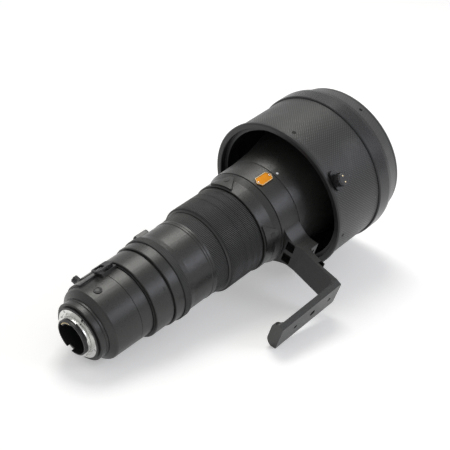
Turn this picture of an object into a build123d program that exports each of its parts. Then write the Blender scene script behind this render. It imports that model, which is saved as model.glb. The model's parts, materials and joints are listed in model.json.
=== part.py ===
from build123d import *
from math import asin, cos, radians, sin
import os

# Super telephoto lens, lying on its side with its hood stored the wrong way round.
# Millimetres. The optical axis is +Y: the flange face is at Y = 0 and the front glass looks along +Y.
# Each piece is drawn upright, as on a camera, with the top of the lens at +Z and its right side,
# seen from behind, at +X. An angle runs from +X towards +Z. The last step rolls every piece about
# the optical axis to the way in which the lens lies, with its foot out to one side.
# A station is a distance in front of the flange face.

# Whole lens
lie_roll = 68.0          # degrees that the lens lies rolled over to its left
slip = 0.05              # radial gap of a fixed seat
run = 0.07               # radial gap of a running fit
part_gap = 0.3           # gap between neighbours that move past each other
bite = 0.1               # how far two joined bodies of one piece run into each other
over = 1.0               # how far a cut runs past the face that it opens

# Mount
flange_radius = 28.0
flange_thick = 2.6
land_radius = 24.2       # the mating land lies outside this radius
land_step = 0.5
bayonet_radius = 21.85
bayonet_length = 4.6
lug_radius = 23.7
lug_thick = 1.5
lug_arc = 52.0
lug_count = 3
flange_screw_count = 5
flange_screw_radius = 26.1
flange_screw_head = 1.55
flange_screw_shank = 0.9
flange_screw_length = 5.0
flange_screw_sink = 0.1
flange_screw_slot = 0.4
flange_screw_slot_length = 1.8
lock_slot_angle = -10.0
lock_slot_width = 2.4
shroud_radius = 20.5
shroud_wall = 1.6
shroud_edge = 0.4
shroud_reach = 8.0       # how far it stands out behind the flange
shroud_depth = 12.0      # how far it goes in
baffle_thick = 1.5
baffle_width = 26.0
baffle_height = 19.0
baffle_corner = 2.0
notch_angle = 175.0
notch_width = 7.0
notch_depth = 4.0
contact_angle = 45.0
contact_arc = 62.0
contact_height = 3.4
contact_length = 12.0
contact_sink = 1.2       # the block starts this far inside the shroud's rim
contact_count = 8
contact_pin_radius = 0.65
contact_pin_reach = 0.6
gasket_radius = 30.2
gasket_lip = 0.4         # the skirt starts this far in front of the flange face
gasket_edge = 0.3
gasket_draft = 0.7       # how much the skirt narrows towards the neck

# Neck and rear body
neck_radius = 33.3
neck_length = 9.9
neck_edge = 0.8
neck_groove = 0.7
neck_groove_back = 3.0   # from the neck's front end
rear_length = 53.5
rear_root_radius = 34.0
rear_radius = 40.9
rear_front_radius = 41.5
rear_bevel = 5.8
rear_wall = 5.5
rear_edge = 0.8
seam_width = 0.4

# Slip-in filter
filter_angle = 90.0
filter_in = 32.0         # from the rear body's root
drawer_thick = 7.0
drawer_across = 44.0
drawer_window = 17.5
filter_radius = 20.2
filter_thick = 2.0
cover_radius = 44.8
cover_along = 20.0
cover_across = 50.0
cover_corner = 3.0
knob_radius = 4.4
knob_height = 10.7
knob_lobes = 8
knob_bite = 0.6
knob_base_radius = 6.4
knob_base_height = 2.0
knob_stem_radius = 2.2
knob_stem_reach = 3.0
drawer_rib = 5.0         # solid wall in front of the drawer
light_bore = 17.0
deck_radius = 43.2
deck_arc = 106.0
deck_in = 11.0           # from the rear body's root
deck_length = 34.5

# Small parts of the rear body
seam_in = 38.1           # from the rear body's root
memory_angle = 9.0
memory_in = 16.8
memory_radius = 4.6
memory_reach = 0.9
memory_height = 3.4
button_edge = 0.3
button_travel = 1.0
strap_spread = 56.0      # each strap loop lies this many degrees from the top
strap_in = 40.5
strap_base_rise = 3.5    # the base's top, above the rear body
strap_base_along = 20.0
strap_base_across = 15.0
strap_base_shift = 2.8   # the base lies this far in front of the loop's middle
strap_loop_rise = 4.2    # the loop's top, above its base
strap_loop_thick = 2.2
strap_loop_along = 22.0
strap_loop_across = 12.0
strap_loop_corner = 3.0
strap_loop_edge = 0.5
strap_hole_along = 10.0
strap_hole_across = 7.4
strap_hole_corner = 1.5
strap_foot_along = 8.0
strap_foot_inset = 0.6

# Barrels and rings along the main tube
tube_radius = 42.0
tube_wall = 2.0
tube_stop = 3.0          # thick end walls of the tube
mid_radius = 45.5
mid_length = 25.8
mid_step = 1.2
mid_step_rise = 1.0      # the step stands this far out from the rear body's front
band_radius = 47.3
band_length = 14.2
band_step = 1.5
band_step_drop = 1.4     # the groove lies this far below the mid barrel
barrel_edge = 0.8
vr_radius = 48.8
vr_length = 8.8
ring_edge = 0.5
scale_radius = 46.6
scale_rear_radius = 47.5
scale_taper = 6.0
scale_length = 36.0
scale_rim_radius = 47.2
scale_rim = 2.2
preset_length = 19.7
preset_rear_radius = 47.0
preset_front_radius = 48.6
preset_rim = 3.2
preset_edge = 0.6
focus_length = 52.3
focus_radius = 52.3
focus_bevel = 3.0
focus_core_bevel = 1.8
focus_bevel_radius = 48.8
focus_edge = 0.8
grip_depth = 1.7
rib_depth = 0.8
rib_count = 120
preset_rib_count = 108
rib_valley = 0.42        # share of a rib's pitch at which its valley ends
rib_flank = 0.12         # share of the pitch that each flank takes
tube_overlap = 10.0      # main tube inside the collar's sleeve

# Distance window
window_angle = 90.0
window_along = 20.0
window_across = 34.0
window_corner = 3.0
window_edge = 0.9
window_rise = 3.0        # the frame's top, above the barrel
window_base = 2.0        # the frame's seat, below the barrel
window_opening_along = 11.0
window_opening_across = 26.0
window_opening_corner = 1.0
window_in = 15.6         # from the barrel's rear end
pane_sink = 1.2          # the pane lies this far below the frame's top
pane_thick = 1.6
scale_drum_thick = 1.83
scale_drum_length = 12.0

# Switch panel on the left side
panel_angle = 180.0
panel_in = 21.0          # from the rear body's front end
panel_along = 33.0
panel_across = 26.0
panel_corner = 2.0
panel_edge = 0.5
panel_rise = 2.7         # the panel's top, above the mid barrel
panel_thick = 3.9
switch_count = 3
switch_pitch = 10.5
switch_along = 4.6
switch_across = 4.2
switch_corner = 0.6
switch_edge = 0.4
switch_travel = 2.5
switch_sink = 2.0        # the slot's floor, below the panel's top
switch_rise = 1.4

# Function button ring
button_length = 25.5
button_ring_radius = 54.3
button_ring_front = 57.1
button_ring_straight = 17.0
button_ring_edge = 0.6
pad_count = 4
pad_angle = 27.0
pad_rise = 2.4           # the pads' top, above the ring's straight part
pad_in = 1.2
pad_rear_half = 17.0
pad_front_half = 3.2
pad_length = 19.5
pad_corner = 1.2
function_radius = 3.3
function_in = 12.0
function_height = 3.2
function_reach = 0.4
function_edge = 0.25

# Collar
sleeve_radius = 50.0
sleeve_wall = 3.0
bearing_thick = 2.95
collar_length = 28.4
collar_rear_radius = 57.7
collar_front_radius = 58.4
collar_edge = 0.5
lock_angle = 180.0
lock_boss_radius = 8.0
lock_boss_rise = 4.1     # the boss's top, above the collar
lock_stem_radius = 2.5
lock_knob_radius = 8.5
lock_knob_height = 9.0
lock_lobes = 6
lock_bite = 2.2
badge_angle = -3.3
badge_along = 24.0
badge_across = 12.0
badge_thick = 1.1
badge_sink = 0.6
badge_clip = 3.6
rivet_radius = 0.8
rivet_rise = 0.3

# Foot and the neck that carries it, as heights from the optical axis
foot_angle = -94.0
foot_height = 136.1      # the sole
foot_plate_thick = 6.6
foot_length = 96.2       # from the joint's rear edge back to the foot's end
foot_top_half = 19.4     # half width where the foot meets the neck
foot_plate_half = 19.2
foot_sole_half = 17.3
foot_nose_half = 6.0     # the sole's front edge is straight this far to each side
foot_nose_bevel = 4.0
foot_edge = 3.0
lip_height = 14.0
lip_thick = 5.0
lip_top_half = 9.0
lip_corner = 7.4
lip_root = 2.0
post_rear_drop = 3.5     # the post's rear face leans back by this much on its way to the plate
post_thick = 8.4
post_blend = 4.2         # rounding between the post and the plate
joint_height = 78.0
joint_back = 8.1         # from the collar's middle back to the joint's rear edge
joint_along = 20.4
block_rise = 6.0         # the foot's block, above the joint
block_lead = 1.1         # the block's front stands this far in front of the joint's
block_along = 11.7
block_toe = 3.0
neck_back = 10.3         # from the collar's middle back to the neck's rear face
neck_waist = 70.0        # height of the narrowest place
neck_waist_half = 18.8
neck_flare_half = 22.0
neck_flare_height = 60.0
neck_root_half = 30.0
neck_root_depth = 8.0    # how far the neck runs into the collar ring before its bore is cut
window_low = 59.5        # the two windows in the neck's rear face
window_high = 69.8
window_in_half = 3.0
window_out_half = 16.8
window_depth = 9.0
neck_window_corner = 1.2
foot_hole_in = 55.0      # from the foot's end to the middle hole
foot_hole_pitch = 28.5
foot_hole_radius = 4.0
foot_side_hole_radius = 2.55
foot_screw_forward = 7.3 # from the collar's middle
foot_screw_half = 9.5
foot_screw_head = 2.8
foot_screw_head_height = 2.4
foot_screw_socket = 1.3
foot_screw_shank = 1.6
foot_screw_depth = 9.0
foot_screw_seat = 3.0    # how deep the screw heads sit in the block

# Front barrel and glass
shoulder_radius = 58.4
shoulder_length = 12.0
shoulder_edge = 0.4
flare_start_rise = 1.0   # the flare starts this far outside the shoulder
flare_radius = 81.9
flare_mid_radius = 66.5
flare_mid_in = 57.2      # from the shoulder's rear edge
flare_length = 101.2
flare_wall = 3.4
front_length = 23.6      # the straight part of the front barrel
bezel_step = 0.9         # the bezel is this much smaller in radius than the front barrel
bezel_wall = 4.6
bezel_length = 21.4
bezel_edge = 1.0
bezel_slope = 1.5
bezel_slope_length = 3.0
barrel_front_wall = 2.0
glass_rim = 3.9          # the cell's wall round the front glass
glass_back = 7.6         # the glass's rear face, behind the barrel's front
glass_edge = 5.0
glass_lip = 3.0          # the barrel's lip reaches this far over the glass
glass_bulge = 4.0
ring_wall = 5.0
ring_length = 6.0
ring_flare = 6.0
ring_lip = 1.0
cell_wall = 6.0
cell_glass_back = 0.3
cell_glass_thick = 11.0
cell_glass_dish = 4.0

# Inner groups, as distances in front of the rear body
rod_radius = 1.5
rod_circle = 35.0
rod_count = 2
rod_angle = 120.0
focus_cell_in = 124.0
focus_cell_length = 15.0
focus_cell_radius = 38.8
focus_cell_lip = 1.0
focus_cell_lip_length = 2.0
focus_glass_radius = 31.0
focus_glass_thick = 8.0
focus_glass_sag = 1.5
vr_unit_in = 38.0
vr_unit_length = 22.0
vr_glass_radius = 20.0
iris_in = 24.0
iris_length = 10.0
iris_bore = 16.0
rear_group_in = 4.0
rear_group_length = 16.0
rear_glass_radius = 17.0
inner_glass_thick = 6.0
inner_glass_sag = 1.0

# Hood
hood_length = 99.7       # from its open end to where its collar seats
hood_wall = 3.2
hood_ledge_depth = 6.4   # from the tube's inside in to the ledge that slides on the front barrel
hood_ledge_in = 7.5
hood_ledge_edge = 2.0
hood_lip = 5.2
hood_lip_rise = 1.9      # the lip stands this far out from the tube
hood_lip_edge = 1.4
hood_mouth_edge = 0.8
hood_mouth_step = 4.3    # from the ledge out to the mouth
hood_sleeve_length = 24.0
hood_band_length = 22.9
hood_band_rise = 2.1
hood_band_edge = 1.2
hood_band_slope = 5.0
hood_band_step = 0.5
hood_collar_rise = 0.6
hood_nose_length = 23.5
hood_nose_draw = 6.8     # how much the collar narrows towards its front
hood_nose_round = 4.0
hood_nose_edge = 0.7
hood_screw_count = 4
hood_screw_angle = 3.7
hood_screw_head = 2.3
hood_screw_shank = 1.2
hood_screw_sink = 0.3
hood_screw_in = 12.3     # from the hood's open end
nose_screw_in = 10.6     # from the collar's seat
nose_screw_depth = 2.0
nose_screw_head_height = 1.4
nose_turn = -13.0        # the collar's screws are turned this far from the tube's
clamp_angle = -41.3
clamp_base_along = 10.5
clamp_base_across = 24.0
clamp_base_height = 3.2
clamp_base_root = 6.0
clamp_stem_radius = 3.0
clamp_stud_radius = 1.2
clamp_stem_reach = 4.0
clamp_collar_radius = 4.6
clamp_knob_radius = 7.8
clamp_knob_height = 7.2
clamp_knob_lobes = 24
clamp_knob_bite = 0.55
clamp_crown_inset = 0.9
clamp_crown_height = 1.0
clamp_crown_edge = 0.8
shoe_side = 9.0
shoe_corner = 1.0
shoe_thick = 2.5
shoe_travel = 1.2
shoe_eye_radius = 1.65

# Radii worked out from the sizes above
bearing_radius = sleeve_radius + slip + bearing_thick
strap_base_top = rear_radius + strap_base_rise
strap_loop_top = strap_base_top + strap_loop_rise
window_top = scale_radius + window_rise
window_seat = scale_radius - window_base
panel_top = mid_radius + panel_rise
panel_seat = panel_top - panel_thick
pad_top = button_ring_radius + pad_rise
lock_boss_top = collar_front_radius + lock_boss_rise
block_top = joint_height + block_rise
foot_inner = foot_height - foot_plate_thick
cell_radius = flare_radius - barrel_front_wall
glass_radius = cell_radius - glass_rim
bezel_radius = flare_radius - bezel_step
hood_ledge_radius = flare_radius + part_gap
hood_inner_radius = hood_ledge_radius + hood_ledge_depth
hood_radius = hood_inner_radius + hood_wall
hood_mouth_radius = hood_ledge_radius + hood_mouth_step
hood_lip_radius = hood_radius + hood_lip_rise
hood_band_radius = hood_radius + hood_band_rise
hood_collar_radius = hood_radius + hood_collar_rise
hood_nose_radius = hood_collar_radius - hood_nose_draw
shoe_pocket_radius = hood_ledge_radius + shoe_thick + shoe_travel + part_gap
clamp_base_top = hood_radius + clamp_base_height

# Stations worked out from the lengths
neck_end = flange_thick + neck_length
rear_end = neck_end + rear_length
mid_end = rear_end + mid_length
band_end = mid_end + band_length
vr_start = band_end + part_gap
vr_end = vr_start + vr_length
scale_start = vr_end + part_gap
scale_end = scale_start + scale_length
preset_start = scale_end + part_gap
preset_end = preset_start + preset_length
focus_start = preset_end + part_gap
focus_end = focus_start + focus_length
button_start = focus_end + part_gap
button_end = button_start + button_length
collar_start = button_end + part_gap
collar_end = collar_start + collar_length
collar_mid = (collar_start + collar_end) / 2
shoulder_start = collar_end + part_gap
tube_end = button_start + tube_overlap
filter_station = neck_end + filter_in
memory_station = neck_end + memory_in
strap_station = neck_end + strap_in
seam_station = neck_end + seam_in
deck_start = neck_end + deck_in
panel_station = rear_end + panel_in
window_station = scale_start + window_in
function_station = button_start + function_in
joint_rear = collar_mid - joint_back
joint_front = joint_rear + joint_along
block_front = joint_front + block_lead
block_rear = block_front - block_along
neck_rear = collar_mid - neck_back
foot_rear = joint_rear - foot_length
foot_front = joint_rear - post_rear_drop + post_thick
foot_screw_station = collar_mid + foot_screw_forward
flare_mid = shoulder_start + flare_mid_in
flare_end = shoulder_start + flare_length
front_step = flare_end + front_length
front_end = front_step + bezel_length
glass_rear = front_step - glass_back
glass_front = glass_rear + glass_edge
hood_seat = front_step + part_gap
hood_open = hood_seat - hood_length
hood_band_start = hood_seat - hood_band_length
hood_front = hood_seat + hood_nose_length
hood_screw_station = hood_open + hood_screw_in
nose_screw_station = hood_seat + nose_screw_in
vr_unit_rear = rear_end + vr_unit_in
focus_cell_rear = rear_end + focus_cell_in


# Drawing helpers
def turned(*outline):
    """A solid of revolution about the optical axis, from (radius, station) points."""
    return revolve(make_face(Polyline(*outline, close=True)), Axis.Y)


def tube(inner, outer, start, end, edge=0.0):
    """A plain tube, with its outer edges bevelled if asked."""
    if edge == 0:
        return turned((inner, start), (outer, start), (outer, end), (inner, end))
    return turned(
        (inner, start), (outer - edge, start), (outer, start + edge),
        (outer, end - edge), (outer - edge, end), (inner, end),
    )


def bar(outer, start, end):
    """A solid round bar on the optical axis."""
    return turned((0, start), (outer, start), (outer, end), (0, end))


def sector(inner, outer, start, end, middle, arc):
    """A piece of a tube, arc degrees long, round the given middle angle."""
    face = make_face(Polyline((inner, start), (outer, start), (outer, end), (inner, end), close=True))
    return Rot(0, -(middle + arc / 2), 0) * revolve(face, Axis.Y, revolution_arc=arc)


def seat(angle, station, radius):
    """A plane that faces outwards at an angle: its x runs forward and its y round the lens."""
    a = radians(angle)
    return Plane(
        origin=(radius * cos(a), station, radius * sin(a)),
        x_dir=(0, 1, 0),
        z_dir=(cos(a), 0, sin(a)),
    )


def end_plane(angle, radius, station):
    """A plane that faces forward, at a point off the optical axis."""
    a = radians(angle)
    return Plane(
        origin=(radius * cos(a), station, radius * sin(a)),
        x_dir=(cos(a), 0, sin(a)),
        z_dir=(0, 1, 0),
    )


def peg(angle, station, low, high, radius):
    """A round peg that points outwards, between two heights."""
    return extrude(seat(angle, station, low) * Circle(radius), high - low)


def pad(angle, station, low, high, along, across, corner):
    """A flat-topped block that points outwards, with rounded corners."""
    outline = RectangleRounded(along, across, corner)
    return extrude(seat(angle, station, low) * outline, high - low)


def bevelled_top(body, angle, depth):
    """Bevels the edges of the face that points furthest outwards at an angle."""
    a = radians(angle)
    outward = Axis((0, 0, 0), (cos(a), 0, sin(a)))
    return chamfer(body.edges().group_by(outward)[-1], depth)


def evenly(first, count):
    """Angles that share a full turn, from the first one on."""
    return [first + 360 * i / count for i in range(count)]


def group(pieces):
    """Solids that share one node."""
    return Compound(children=list(pieces))


def lobed(radius, count, cut):
    """The outline of a knob with scalloped sides."""
    outline = Circle(radius)
    for angle in evenly(0, count):
        a = radians(angle)
        outline -= Pos(radius * cos(a), radius * sin(a)) * Circle(cut)
    return outline


def ribbed(valley, crest, start, end, count):
    """A bar with ribs along the axis, which the caller bores and shapes."""
    points = []
    corners = (
        (valley, 0), (valley, rib_valley), (crest, rib_valley + rib_flank), (crest, 1 - rib_flank),
    )
    for first in evenly(0, count):
        for radius, share in corners:
            a = radians(first + share * 360 / count)
            points.append((radius * cos(a), radius * sin(a)))
    outline = make_face(Polyline(*points, close=True))
    return extrude(Plane((0, start, 0), x_dir=(1, 0, 0), z_dir=(0, 1, 0)) * outline, end - start)


# Mount
def flange_screw_planes(station):
    first = window_angle + 180 / flange_screw_count
    return [
        end_plane(angle, flange_screw_radius, station) for angle in evenly(first, flange_screw_count)
    ]


def mount_flange():
    bore = shroud_radius + slip
    body = turned(
        (bore, -bayonet_length), (bayonet_radius, -bayonet_length), (bayonet_radius, land_step),
        (land_radius, land_step), (land_radius, 0), (flange_radius, 0),
        (flange_radius, flange_thick), (bore, flange_thick),
    )
    for angle in evenly(window_angle, lug_count):
        body += sector(
            bore, lug_radius, -bayonet_length, -bayonet_length + lug_thick, angle, lug_arc,
        )
    for plane in flange_screw_planes(0):
        body -= extrude(plane * Circle(flange_screw_shank + slip), flange_thick)
        body -= extrude(plane * Circle(flange_screw_head + slip), flange_thick / 2)
    slot = seat(lock_slot_angle, flange_thick / 2, land_radius)
    body -= extrude(slot * Rectangle(2 * flange_thick, lock_slot_width), flange_radius)
    return body


def mount_screws():
    screws = []
    head_depth = flange_thick / 2 - flange_screw_sink
    for plane in flange_screw_planes(flange_screw_sink):
        screw = extrude(plane * Circle(flange_screw_head), head_depth)
        screw += extrude(plane * Circle(flange_screw_shank), flange_screw_length)
        screw -= extrude(plane * Rectangle(flange_screw_slot_length, flange_screw_slot), head_depth / 2)
        screws.append(screw)
    return group(screws)


def mount_gasket():
    inner = flange_radius + slip
    return turned(
        (inner, gasket_lip + gasket_edge), (gasket_radius - gasket_edge, gasket_lip),
        (gasket_radius, gasket_lip + gasket_edge), (gasket_radius - gasket_draft, flange_thick),
        (inner, flange_thick),
    )


def mount_shroud():
    inner = shroud_radius - shroud_wall
    body = tube(inner, shroud_radius, -shroud_reach, shroud_depth, shroud_edge)
    body += bar(inner + bite, shroud_depth - baffle_thick, shroud_depth)
    window = Plane((0, shroud_depth, 0), x_dir=(1, 0, 0), z_dir=(0, -1, 0))
    opening = RectangleRounded(baffle_width, baffle_height, baffle_corner)
    body -= extrude(window * opening, baffle_thick + over)
    cut = seat(notch_angle, -shroud_reach, inner - over)
    return body - extrude(cut * Rectangle(2 * notch_depth, notch_width), shroud_wall + 2 * over)


def contact_start():
    return contact_sink - shroud_reach


def contact_block():
    outer = shroud_radius - shroud_wall - slip
    start = contact_start()
    return sector(
        outer - contact_height, outer, start, start + contact_length, contact_angle, contact_arc,
    )


def contact_pins():
    radius = shroud_radius - shroud_wall - contact_height / 2
    pitch = contact_arc / (contact_count + 1)
    pins = []
    for i in range(contact_count):
        angle = contact_angle - contact_arc / 2 + pitch * (i + 1)
        plane = end_plane(angle, radius, contact_start() - contact_pin_reach)
        pins.append(extrude(plane * Circle(contact_pin_radius), contact_pin_reach))
    return group(pins)


def mount_neck():
    bore = shroud_radius + slip
    groove = neck_end - neck_groove_back
    body = turned(
        (bore, flange_thick), (neck_radius - neck_edge, flange_thick),
        (neck_radius, flange_thick + neck_edge), (neck_radius, groove - neck_groove),
        (neck_radius - neck_groove, groove), (neck_radius, groove + neck_groove),
        (neck_radius, neck_end), (bore, neck_end),
    )
    for plane in flange_screw_planes(flange_thick):
        body -= extrude(plane * Circle(flange_screw_shank + slip), flange_screw_length)
    return body


# Rear body and slip-in filter
def drawer_shape(top, gap):
    """The drawer's plate: straight sides, and a round inner end about the optical axis."""
    half = drawer_across / 2 + gap
    plane = end_plane(filter_angle, 0, filter_station - drawer_thick / 2 - gap)
    outline = Circle(half) + Pos(top / 2, 0) * Rectangle(top, 2 * half)
    return extrude(plane * outline, drawer_thick + 2 * gap)


def rear_body():
    front_rib = filter_station + drawer_thick / 2 + drawer_rib
    hollow = rear_radius - rear_wall
    body = turned(
        (light_bore, neck_end), (rear_root_radius, neck_end),
        (rear_radius - rear_edge, neck_end + rear_bevel - 2 * rear_edge),
        (rear_radius, neck_end + rear_bevel), (rear_front_radius, rear_end - rear_edge),
        (rear_front_radius - rear_edge, rear_end), (hollow, rear_end), (hollow, front_rib),
        (light_bore, front_rib),
    )
    body -= tube(rear_radius - seam_width / 2, deck_radius, seam_station, seam_station + seam_width)
    body += sector(
        hollow + over, deck_radius, deck_start, deck_start + deck_length, filter_angle, deck_arc,
    )
    for angle in strap_angles():
        body += pad(
            angle, strap_station + strap_base_shift, hollow + over, strap_base_top,
            strap_base_along, strap_base_across, strap_loop_corner / 3,
        )
    body -= drawer_shape(2 * deck_radius, part_gap)
    low = memory_low() - button_travel - part_gap
    return body - peg(memory_angle, memory_station, low, deck_radius, memory_radius + run)


def memory_low():
    return rear_radius + memory_reach - memory_height


def memory_button():
    face = peg(memory_angle, memory_station, memory_low(), rear_radius + memory_reach, memory_radius)
    return bevelled_top(face, memory_angle, button_edge)


def filter_holder():
    start = filter_station - drawer_thick
    end = filter_station + drawer_thick
    low = deck_radius + part_gap
    body = drawer_shape(2 * deck_radius, 0) & bar(low + bite, start, end)
    body -= bar(drawer_window, start, end)
    body -= bar(filter_radius + slip, filter_station - filter_thick / 2, end)
    cover = pad(
        filter_angle, filter_station, deck_radius / 2, 2 * deck_radius, cover_along, cover_across,
        cover_corner,
    )
    body += cover & tube(low, cover_radius, filter_station - cover_along, filter_station + cover_along)
    stem = knob_stem_radius + run
    return body - peg(filter_angle, filter_station, low - knob_stem_reach, 2 * deck_radius, stem)


def filter_glass():
    rear = filter_station - filter_thick / 2
    return bar(filter_radius, rear, rear + filter_thick)


def filter_knob():
    base = cover_radius + slip
    top = base + knob_height
    body = peg(filter_angle, filter_station, base, base + knob_base_height, knob_base_radius)
    grip = seat(filter_angle, filter_station, base + bite)
    body += extrude(grip * lobed(knob_radius, knob_lobes, knob_bite), knob_height - bite)
    low = deck_radius + 2 * part_gap - knob_stem_reach
    return body + peg(filter_angle, filter_station, low, top - over, knob_stem_radius)


def strap_angles():
    return [filter_angle - strap_spread, filter_angle + strap_spread]


def strap_lugs():
    lugs = []
    under = strap_loop_top - strap_loop_thick
    front = strap_station + strap_loop_along / 2
    for angle in strap_angles():
        lug = pad(
            angle, strap_station, under, strap_loop_top, strap_loop_along, strap_loop_across,
            strap_loop_corner,
        )
        lug = bevelled_top(lug, angle, strap_loop_edge)
        lug -= pad(
            angle, front - strap_foot_along - strap_hole_along / 2 - 1, under - over,
            strap_loop_top + over, strap_hole_along, strap_hole_across, strap_hole_corner,
        )
        lug += pad(
            angle, front - strap_foot_along / 2 - strap_foot_inset, strap_base_top, under + bite,
            strap_foot_along, strap_loop_across - 2 * strap_foot_inset, strap_loop_corner / 3,
        )
        lugs.append(lug)
    return group(lugs)


# Barrels and rings along the main tube
def panel_pocket(extra):
    return pad(
        panel_angle, panel_station, panel_seat - extra, panel_top + panel_thick,
        panel_along + 2 * extra, panel_across + 2 * extra, panel_corner,
    )


def main_tube():
    inner = tube_radius - tube_wall
    body = tube(inner, tube_radius, rear_end, tube_end)
    body += tube(rear_glass_radius + tube_stop, inner + bite, rear_end, rear_end + tube_stop)
    return body + tube(focus_glass_radius - focus_cell_lip, inner + bite, tube_end - tube_stop, tube_end)


def mid_barrel():
    inner = tube_radius + slip
    start = rear_end + part_gap
    step = start + mid_step
    body = turned(
        (inner, start), (rear_front_radius + mid_step_rise, start), (rear_front_radius + mid_step_rise, step),
        (mid_radius - barrel_edge, step), (mid_radius, step + barrel_edge),
        (mid_radius, mid_end - barrel_edge), (mid_radius - barrel_edge, mid_end), (inner, mid_end),
    )
    return body - panel_pocket(slip)


def band_ring():
    inner = tube_radius + slip
    groove = mid_radius - band_step_drop
    step = mid_end + band_step
    body = turned(
        (inner, mid_end), (groove, mid_end), (groove, step), (band_radius - barrel_edge, step),
        (band_radius, step + barrel_edge), (band_radius, band_end), (inner, band_end),
    )
    return body - panel_pocket(slip)


def switch_stations():
    first = panel_station - switch_pitch * (switch_count - 1) / 2
    return [first + switch_pitch * i for i in range(switch_count)]


def switch_panel():
    body = pad(
        panel_angle, panel_station, panel_seat, panel_top, panel_along, panel_across, panel_corner,
    )
    body = bevelled_top(body, panel_angle, panel_edge)
    for station in switch_stations():
        body -= pad(
            panel_angle, station, panel_top - switch_sink - run, panel_top + over,
            switch_along + 2 * run, switch_across + 2 * (switch_travel + part_gap), switch_corner,
        )
    return body


def switch(station):
    body = pad(
        panel_angle, station, panel_top - switch_sink, panel_top + switch_rise,
        switch_along, switch_across, switch_corner,
    )
    return bevelled_top(body, panel_angle, switch_edge)


def vr_ring():
    return tube(tube_radius + run, vr_radius, vr_start, vr_end, ring_edge)


def scale_drum_radius():
    return tube_radius + run + scale_drum_thick


def scale_barrel():
    inner = tube_radius + slip
    rim = scale_end - scale_rim
    body = turned(
        (inner, scale_start), (scale_rear_radius, scale_start), (scale_radius, scale_start + scale_taper),
        (scale_radius, rim - barrel_edge), (scale_rim_radius, rim), (scale_rim_radius, scale_end),
        (inner, scale_end),
    )
    body += pad(
        window_angle, window_station, inner - window_base, window_seat, window_along, window_across,
        window_corner,
    )
    body -= pad(
        window_angle, window_station, window_seat, window_top, window_along + 2 * slip,
        window_across + 2 * slip, window_corner,
    )
    body -= window_opening(inner - 2 * window_base, window_top)
    half = scale_drum_length / 2 + part_gap
    body -= bar(scale_drum_radius() + part_gap, window_station - half, window_station + half)
    return body - bar(inner, scale_start - over, scale_end + over)


def window_opening(low, high):
    return pad(
        window_angle, window_station, low, high, window_opening_along, window_opening_across,
        window_opening_corner,
    )


def window_frame():
    body = pad(
        window_angle, window_station, window_seat, window_top, window_along, window_across, window_corner,
    )
    body = bevelled_top(body, window_angle, window_edge)
    return body - window_opening(window_seat - over, window_top + over)


def window_pane():
    top = window_top - pane_sink
    return pad(
        window_angle, window_station, top - pane_thick, top, window_opening_along - 2 * slip,
        window_opening_across - 2 * slip, window_opening_corner - slip,
    )


def distance_scale():
    half = scale_drum_length / 2
    return tube(tube_radius + run, scale_drum_radius(), window_station - half, window_station + half)


def preset_core_radius():
    return preset_rear_radius - grip_depth


def preset_ring():
    inner = tube_radius + run
    rim = preset_start + preset_rim
    return turned(
        (inner, preset_start), (preset_rear_radius - ring_edge, preset_start),
        (preset_rear_radius, preset_start + ring_edge), (preset_rear_radius, rim),
        (preset_core_radius(), rim), (preset_core_radius(), preset_end), (inner, preset_end),
    )


def preset_grip():
    start = preset_start + preset_rim + slip
    inner = preset_core_radius() + slip
    valley = preset_rear_radius - rib_depth / 2
    ribs = ribbed(valley, preset_front_radius + over, start, preset_end, preset_rib_count)
    return ribs & turned(
        (inner, start), (preset_rear_radius, start), (preset_front_radius, preset_end - preset_edge),
        (preset_front_radius - preset_edge, preset_end), (inner, preset_end),
    )


def focus_core_radius():
    return focus_radius - grip_depth


def focus_ring():
    inner = tube_radius + run
    core = focus_core_radius()
    return turned(
        (inner, focus_start), (focus_bevel_radius, focus_start),
        (core, focus_start + focus_core_bevel), (core, focus_end), (inner, focus_end),
    )


def focus_grip():
    start = focus_start + focus_core_bevel + slip
    inner = focus_core_radius() + slip
    valley = focus_radius - rib_depth
    ribs = ribbed(valley, focus_radius, start, focus_end, rib_count)
    return ribs & turned(
        (inner, start), (valley, start), (focus_radius, focus_start + focus_bevel),
        (focus_radius, focus_end - focus_edge), (focus_radius - focus_edge, focus_end), (inner, focus_end),
    )


# Function button ring
def function_low():
    return pad_top + function_reach - function_height


def button_ring():
    inner = sleeve_radius + slip
    straight = button_start + button_ring_straight
    edge = button_ring_edge
    body = turned(
        (inner, button_start), (button_ring_radius - edge, button_start),
        (button_ring_radius, button_start + edge), (button_ring_radius, straight),
        (button_ring_front, button_end - edge), (button_ring_front - edge, button_end), (inner, button_end),
    )
    outline = make_face(
        FilletPolyline(
            (0, -pad_rear_half), (pad_length, -pad_front_half), (pad_length, pad_front_half),
            (0, pad_rear_half), radius=pad_corner, close=True,
        )
    )
    solid = tube(inner + over, pad_top, button_start, button_end)
    low = function_low() - button_travel - part_gap
    for angle in evenly(pad_angle, pad_count):
        raised = extrude(seat(angle, button_start + pad_in, inner + over) * outline, pad_top - inner)
        body += raised & solid
        body -= peg(angle, function_station, low, pad_top + over, function_radius + run)
    return body


def function_button(angle):
    body = peg(angle, function_station, function_low(), pad_top + function_reach, function_radius)
    return bevelled_top(body, angle, function_edge)


# Collar and foot
def foot_directions():
    """The way out along the foot, and the way across it towards the side that lies uppermost."""
    a = radians(foot_angle)
    outward = Vector(cos(a), 0, sin(a))
    return outward, outward.cross(Vector(0, 1, 0))


def side_plane(half):
    """A plane beside the foot: its x runs outwards along the foot and its y forward."""
    outward, across = foot_directions()
    return Plane(origin=across * -half, x_dir=outward, z_dir=across)


def cross_plane(station):
    """A plane across the foot: its x runs outwards and its y towards the lower side."""
    outward, _ = foot_directions()
    return Plane(origin=(0, station, 0), x_dir=outward, z_dir=(0, 1, 0))


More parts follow.
